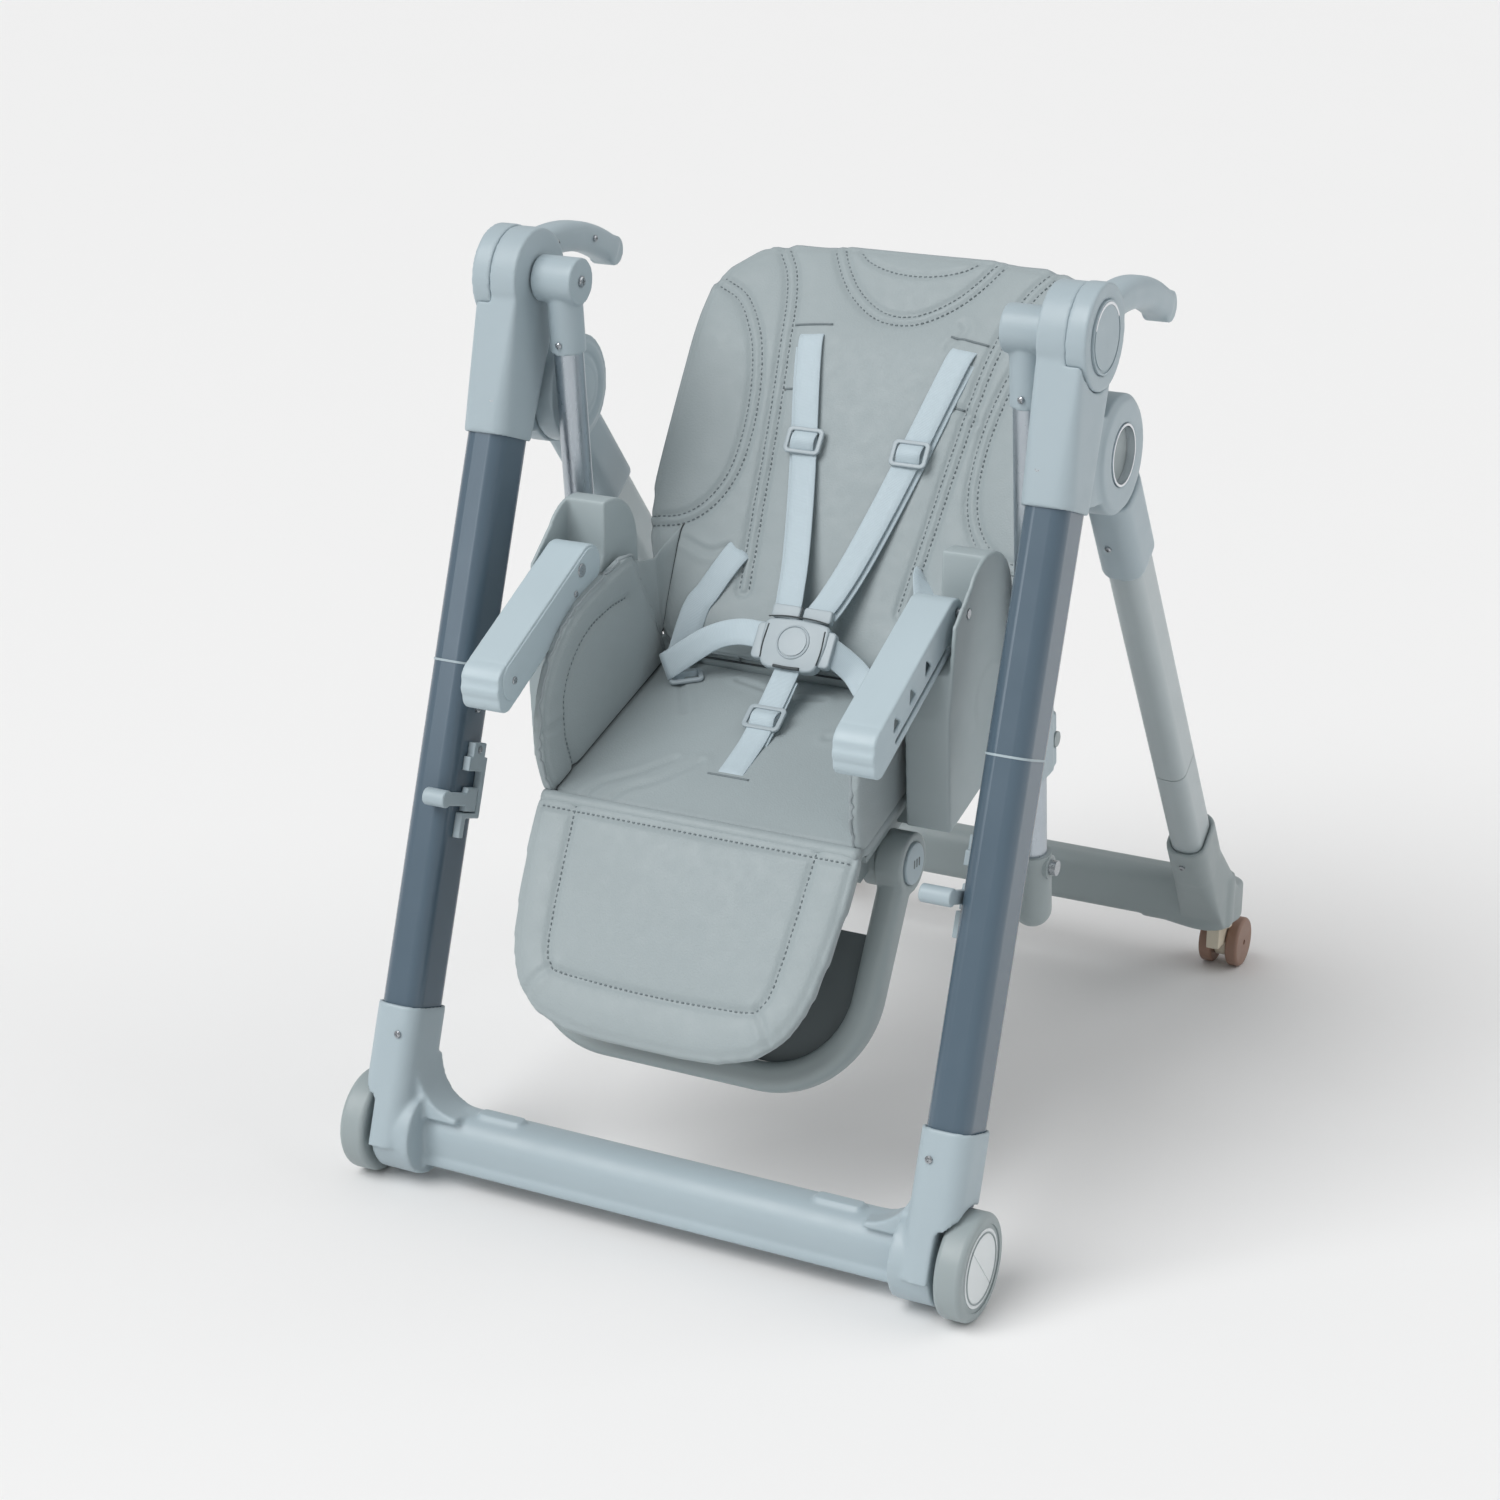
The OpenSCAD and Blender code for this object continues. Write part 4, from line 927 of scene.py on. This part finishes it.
STRAP_TOP = (79, 318)
STRAP_LOW = (15, 40)
for side_name, side in SIDES:
    share = np.array([0, 0.02, 0.06, 0.2, 0.4, 0.6, 0.8, 0.93])
    x = side * (STRAP_TOP[0] + (STRAP_LOW[0] - STRAP_TOP[0]) * share)
    s = STRAP_TOP[1] + (STRAP_LOW[1] - STRAP_TOP[1]) * share
    h = np.array([8, 17, 22.5, 24, 24.5, 27, 33, 42.0]) - back_dish(x)
    on_back = back_place(columns(x, s, h))
    end = on_buckle([(side * 15.5, 30, 1), (side * 15.5, 22, 1)])
    path = np.vstack([on_back, end])
    wide = np.array([[1.0, 0, -0.1 * side]] * len(path))
    layer = strap(f"shoulder_strap_{side_name}", path, wide)
    below = path[2:-1] - [side * -0.0035, -0.0022, 0.0035]
    under = strap(f"shoulder_strap_{side_name}_under", below, wide[2:-1])
    for piece in (layer, under):
        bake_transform(piece)
    if side < 0:
        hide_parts("shoulder_straps")
    middle, ahead = path[4], path[5]
    ring, band = adjuster(f"shoulder_adjuster_{side_name}", middle + [0, -0.0022, 0.0016], (1, 0, 0),
                          middle - ahead)
    attach((ring, band), "backrest")
    if side < 0:
        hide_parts("strap_adjusters")

crotch_pan = pan_place(columns(0, [52, 72, 96, 122, 150, 166, 171], [27, 20, 12.5, 6, 3.5, 2.5, -3]))
crotch_path = np.vstack([on_buckle([(0, -22, 0)]), crotch_pan])
crotch_wide = np.array([[1.0, 0, 0]] * len(crotch_path))
crotch = strap("crotch_strap", crotch_path, crotch_wide)
crotch_under = strap("crotch_strap_under", crotch_path[1:5] - [-0.002, 0, 0.0026], crotch_wide[1:5])
crotch_adjuster = adjuster("crotch_adjuster", crotch_path[3] + [0, 0, 0.0012], (1, 0, 0),
                           crotch_path[2] - crotch_path[3])
attach((crotch, crotch_under), "seat")
attach(crotch_adjuster, "seat")
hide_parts("waist_straps")

# Waist straps: the left one curls back round its adjuster, the right one twists to the pan
CURL_AXIS = np.array([-0.45, 0.12, 0.89])
CURL_R = 0.0095
curl_foot = pan_place((-112, 46, 6))
curl = curl_foot + CURL_AXIS * STRAP_W / 2 * MM
forwards = np.cross(CURL_AXIS, (1.0, 0, 0))
forwards /= np.linalg.norm(forwards)
outwards = np.cross(CURL_AXIS, forwards)
outwards *= -np.sign(outwards[0])
forwards *= -np.sign(forwards[1])
turn = np.radians([70, 40, 0, -40, -75])
curl_points = curl + CURL_R * (np.cos(turn)[:, None] * outwards + np.sin(turn)[:, None] * forwards)
left_path = np.vstack([
    back_place([(-93, 101, 10), (-94, 96, 18), (-102, 78, 20), (-112, 54, 20), (-119, 34, 22)]),
    curl_points[::-1],
    on_buckle([(-88, -9, -5), (-60, 1, 0), (-36, 2, 0), (-24, 2, 0)])])
left_wide = np.vstack([
    [(-0.8, 0.1, 0.5)], [(-0.86, 0.12, 0.42)], [(-0.9, 0.16, 0.36)], [(-0.88, 0.18, 0.42)],
    [(-0.75, 0.16, 0.66)], [CURL_AXIS] * 5, [(-0.25, 0.35, 0.88)], [(-0.08, 0.5, 0.85)],
    [(0, 0.56, 0.83)] * 2])
waist_left = strap("waist_strap_left", left_path, left_wide)
right_path = np.vstack([
    on_buckle([(24, -2, 0), (36, -4, 0)]),
    pan_place([(58, 26, 27), (80, 42, 16), (102, 44, 10), (122, 30, 14)]),
    back_place([(122, 30, 30), (104, 76, 24), (94, 96, 19), (93, 98, 12)])])
right_wide = np.vstack([
    [(0, 0.56, 0.83)] * 2, [(0.3, 0.5, 0.7)], [(0.6, 0.5, 0.3)], [(0.5, 0.6, 0.2)], [(0.2, 0.6, 0.5)],
    [(-0.2, 0.3, 0.9)], [(-0.6, 0.2, 0.6)], [(-0.6, 0.2, 0.6)], [(-0.6, 0.2, 0.6)]])
waist_right = strap("waist_strap_right", right_path, right_wide)
attach((waist_left, waist_right), "seat")
waist_adjuster = adjuster("waist_adjuster_left", curl_foot + [0.004, 0.004, -0.001], (0.8, 0.55, 0.1),
                          (0.55, -0.8, -0.2), 32.0, 22.0)
attach(waist_adjuster, "seat")


def plate(name, outline, low, high, edge, place, finish):
    """A moulded plate: an outline between two heights in mm, its edges rounded by a bevel."""
    verts, faces = prism(outline, low, high)
    piece = new_piece(name, place(verts), faces, finish)
    bevel = piece.modifiers.new("edge", "BEVEL")
    bevel.width = edge * MM
    bevel.segments = 3
    bevel.limit_method = "ANGLE"
    bevel.angle_limit = np.radians(40)
    return applied(piece)


# Buckle: shield body, two strap tongues above it and a raised ring round the button
shield = mirrored(curve([(4, -27), (18, -28), (27, -24), (31, -10), (32, 6), (29, 17), (4, 20)], 3))
shield_piece = plate("buckle_shield", shield, -6, 6, 2.2, on_buckle, "buckle")
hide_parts("buckle")
buckle_parts = [shield_piece]
for side_name, side in SIDES:
    tongue = rounded_loop(28, 13, 3.2) + [side * 15.5, 26]
    buckle_parts.append(plate(f"buckle_tongue_{side_name}", tongue, -4.5, 4.5, 1.5, on_buckle, "buckle"))
    lug = rounded_loop(12, 34, 4) + [side * 33, -4]
    buckle_parts.append(plate(f"buckle_lug_{side_name}", lug, -4.5, 4.5, 1.5, on_buckle, "buckle"))
ring = arc(0, -2, 15.2, 0, 352.5, 48)
ring_line = on_buckle(columns(ring[:, 0], ring[:, 1], 6.0))
buckle_parts.append(tube("buckle_ring", ring_line, 1.0 * MM, "buckle", closed=True))
# Dark tubes in the gaps between the buckle's parts: painted shade.
gaps = {"top": [(-30, 19), (-16, 21), (0, 21.5), (16, 21), (30, 19)], "middle": [(0, 21), (0, 32)],
        "left": [(-28, -20), (-29, -6), (-28, 12)], "right": [(28, -20), (29, -6), (28, 12)],
        "foot": [(-13, -26), (0, -26.5), (13, -26)]}
for gap_name, route in gaps.items():
    line = curve(route, 2)
    height = 4.7 if gap_name == "middle" else 6.1
    gap_r = 1.6 if gap_name == "foot" else 0.7
    gap_line = on_buckle(columns(line[:, 0], line[:, 1], height))
    buckle_parts.append(tube(f"buckle_gap_{gap_name}", gap_line, gap_r * MM, "seam"))
attach(buckle_parts, "seat")


def strap_slot(name, ends, surface, default, place, body):
    """The bound edge of a slot that a strap goes through, on a pad's front, drawn in the darkened thread
    colour as painted shade of the slit.
    """
    line = curve(ends, 3)
    top = np.array([height_at(surface, x, y, default) for x, y in line])
    edge = tube(name, place(columns(line[:, 0], line[:, 1], top)), 1.2 * MM, "thread_and_shade")
    attach([edge], body)


for level, x, width in ((320, 79, 38), (259, 73, 36)):
    for side_name, side in SIDES:
        ends = [(side * x - width / 2, level + side * 2), (side * x + width / 2, level - side * 2)]
        strap_slot(f"slot_{level}_{side_name}", ends, back_surface, BACK_HIGH, back_place, "backrest")
strap_slot("slot_pan", [(-20, 171), (20, 171)], pan_surface, 0, pan_place, "seat")

# ---- Armrest covers ----

ARM_HINGE = np.array([0.176, 0.163 - FOOT_MID, 0.556])
ARM_TILT = np.radians(27.6)
ARM_HALF = 19.0
# The cover plate's round ends, in mm forward from the hinge, its middle line and its end radius
COVER_TIP, COVER_REAR = 156, 8
COVER_MID = -4
COVER_R = 17.5


def on_armrest(side):
    """Distance forward from the hinge, height and distance out of the inner face, in mm."""

    def place(p):
        p = np.asarray(p, float) * MM
        c, t = np.cos(ARM_TILT), np.sin(ARM_TILT)
        y = ARM_HINGE[1] - p[..., 0] * c - p[..., 1] * t
        z = ARM_HINGE[2] - p[..., 0] * t + p[..., 1] * c
        return columns(side * (ARM_HINGE[0] - ARM_HALF * MM - p[..., 2]), y, z)

    return place


for side_name, side in SIDES:
    place = on_armrest(side)
    cover = np.vstack([arc(COVER_TIP, COVER_MID, COVER_R, -90, 90, 20), [(20, COVER_MID + COVER_R)],
                       arc(COVER_REAR, COVER_MID, COVER_R, 90, 270, 20)])
    parts = [plate(f"armrest_cover_{side_name}", cover, -1.5, 1.3, 1.0, place, "light")]
    heads = (("tip", COVER_TIP, COVER_MID, 3.4), ("rivet", 22, 4, 6.2), ("rear", 40, -8, 3.0))
    for label, at, height, size in heads:
        head = arc(at, height, size, 0, 345, 24)
        parts.append(plate(f"armrest_{label}_screw_{side_name}", head, 1.0, 2.6, 0.8, place, "steel"))
    attach(parts, f"armrest_{side_name}")

# ---- Caps and rings on the hubs and wheels ----


def facing(side, centre, outward=1):
    """Forward, up and outward mm round a point on one side of the chair; -1 faces inwards."""

    def place(p):
        p = np.asarray(p, float) * MM
        x = side * (centre[0] + outward * p[..., 2])
        return columns(x, centre[1] - p[..., 0], centre[2] + p[..., 1])

    return place


LEG_HUB = (0.172, 0.1389 - FOOT_MID, 0.3348)
FRONT_AXLE = (0.3048, -FOOT_MID, 0.047)
REAR_HUB = (0.2401, 0.288 - FOOT_MID, 0.675)
for side_name, side in SIDES:
    place = facing(side, LEG_HUB)
    hub_parts = [plate(f"leg_hub_cap_{side_name}", arc(0, 0, 18.5, 0, 350, 36), -3, 1.6, 1.2, place, "pale")]
    # Three raised dark plates on each cap: painted shade standing in for its slots.
    for k in range(3):
        slot = rounded_loop(2.4, 8, 1.1) + [-8 + 5 * k, 0]
        hub_parts.append(plate(f"leg_hub_slot_shade_{side_name}_{k}", slot, 1.2, 1.9, 0.3, place, "dark"))
    attach(hub_parts, "leg_rest")
    place = facing(side, FRONT_AXLE)
    ring = arc(0, 0, 30.5, 0, 354, 60)
    ring_line = place(columns(ring[:, 0], ring[:, 1], 0.0))
    wheel_ring = tube(f"wheel_ring_{side_name}", ring_line, 0.8 * MM, "grey", closed=True)
    attach([wheel_ring], f"wheel_{side_name}")
    rear_cap = plate(f"rear_hub_cap_{side_name}", arc(0, 0, 22, 0, 350, 40), -0.4, 2.0, 1.2,
                     facing(side, REAR_HUB, outward=-1), "pale")
    attach([rear_cap], "rear_frame")

# ---- Floor, light and camera ----


def add_floor():
    """One pale square, wide enough to fill every view."""
    mesh = bpy.data.meshes.new("floor")
    half = 200
    mesh.from_pydata([(-half, -half, 0), (half, -half, 0), (half, half, 0), (-half, half, 0)], [],
                     [(0, 1, 2, 3)])
    floor = bpy.data.objects.new("floor", mesh)
    scene.collection.objects.link(floor)
    n = Nodes("floor")
    n.two_tone(n.noise(0.8, 2), srgb(238, 238, 238), srgb(239, 239, 239))
    n.set(Roughness=0.9, Specular_IOR_Level=0.1)
    floor.data.materials.append(n.material)


def add_light(name, kind, place, target, energy, size=None, spread=None):
    data = bpy.data.lights.new(name, kind)
    data.energy = energy
    if kind == "AREA":
        data.size = size
    else:
        data.angle = np.radians(spread)
    light = bpy.data.objects.new(name, data)
    light.location = place
    light.rotation_euler = (Vector(target) - Vector(place)).to_track_quat("-Z", "Y").to_euler()
    scene.collection.objects.link(light)


def add_camera():
    """The camera at the photograph's angle."""
    azimuth, elevation, roll = np.radians([27.09, 19.21, 0.53])
    back = Vector((np.sin(azimuth) * np.cos(elevation), -np.cos(azimuth) * np.cos(elevation),
                   np.sin(elevation)))
    level = Vector((np.cos(azimuth), np.sin(azimuth), 0))
    above = back.cross(level)
    right = level * np.cos(roll) + above * np.sin(roll)
    up = above * np.cos(roll) - level * np.sin(roll)
    place = (1.153, -2.48925, 1.283)
    data = bpy.data.cameras.new("camera")
    data.lens = 73.15
    data.sensor_width = 36
    camera = bpy.data.objects.new("camera", data)
    turned = Matrix((right, up, back)).transposed().to_4x4()
    camera.matrix_world = Matrix.Translation(place) @ turned
    scene.collection.objects.link(camera)
    scene.camera = camera


def add_world():
    world = bpy.data.worlds.new("studio")
    world.use_nodes = True
    background = world.node_tree.nodes["Background"]
    background.inputs["Color"].default_value = (1.0, 1.0, 1.0, 1)
    background.inputs["Strength"].default_value = 0.44
    scene.world = world


add_floor()
add_world()
add_light("key", "SUN", (-1.4, -2.8, 3.6), (0, 0, 0.0), 1.98, spread=40)
add_light("rim", "SUN", (2.6, 1.2, 2.4), (0, 0, 0.5), 0.62, spread=50)
add_light("front", "AREA", (-1.9, -3.6, 1.7), (0, 0, 0.5), 7, size=0.9)
add_camera()
scene.view_settings.view_transform = "Standard"
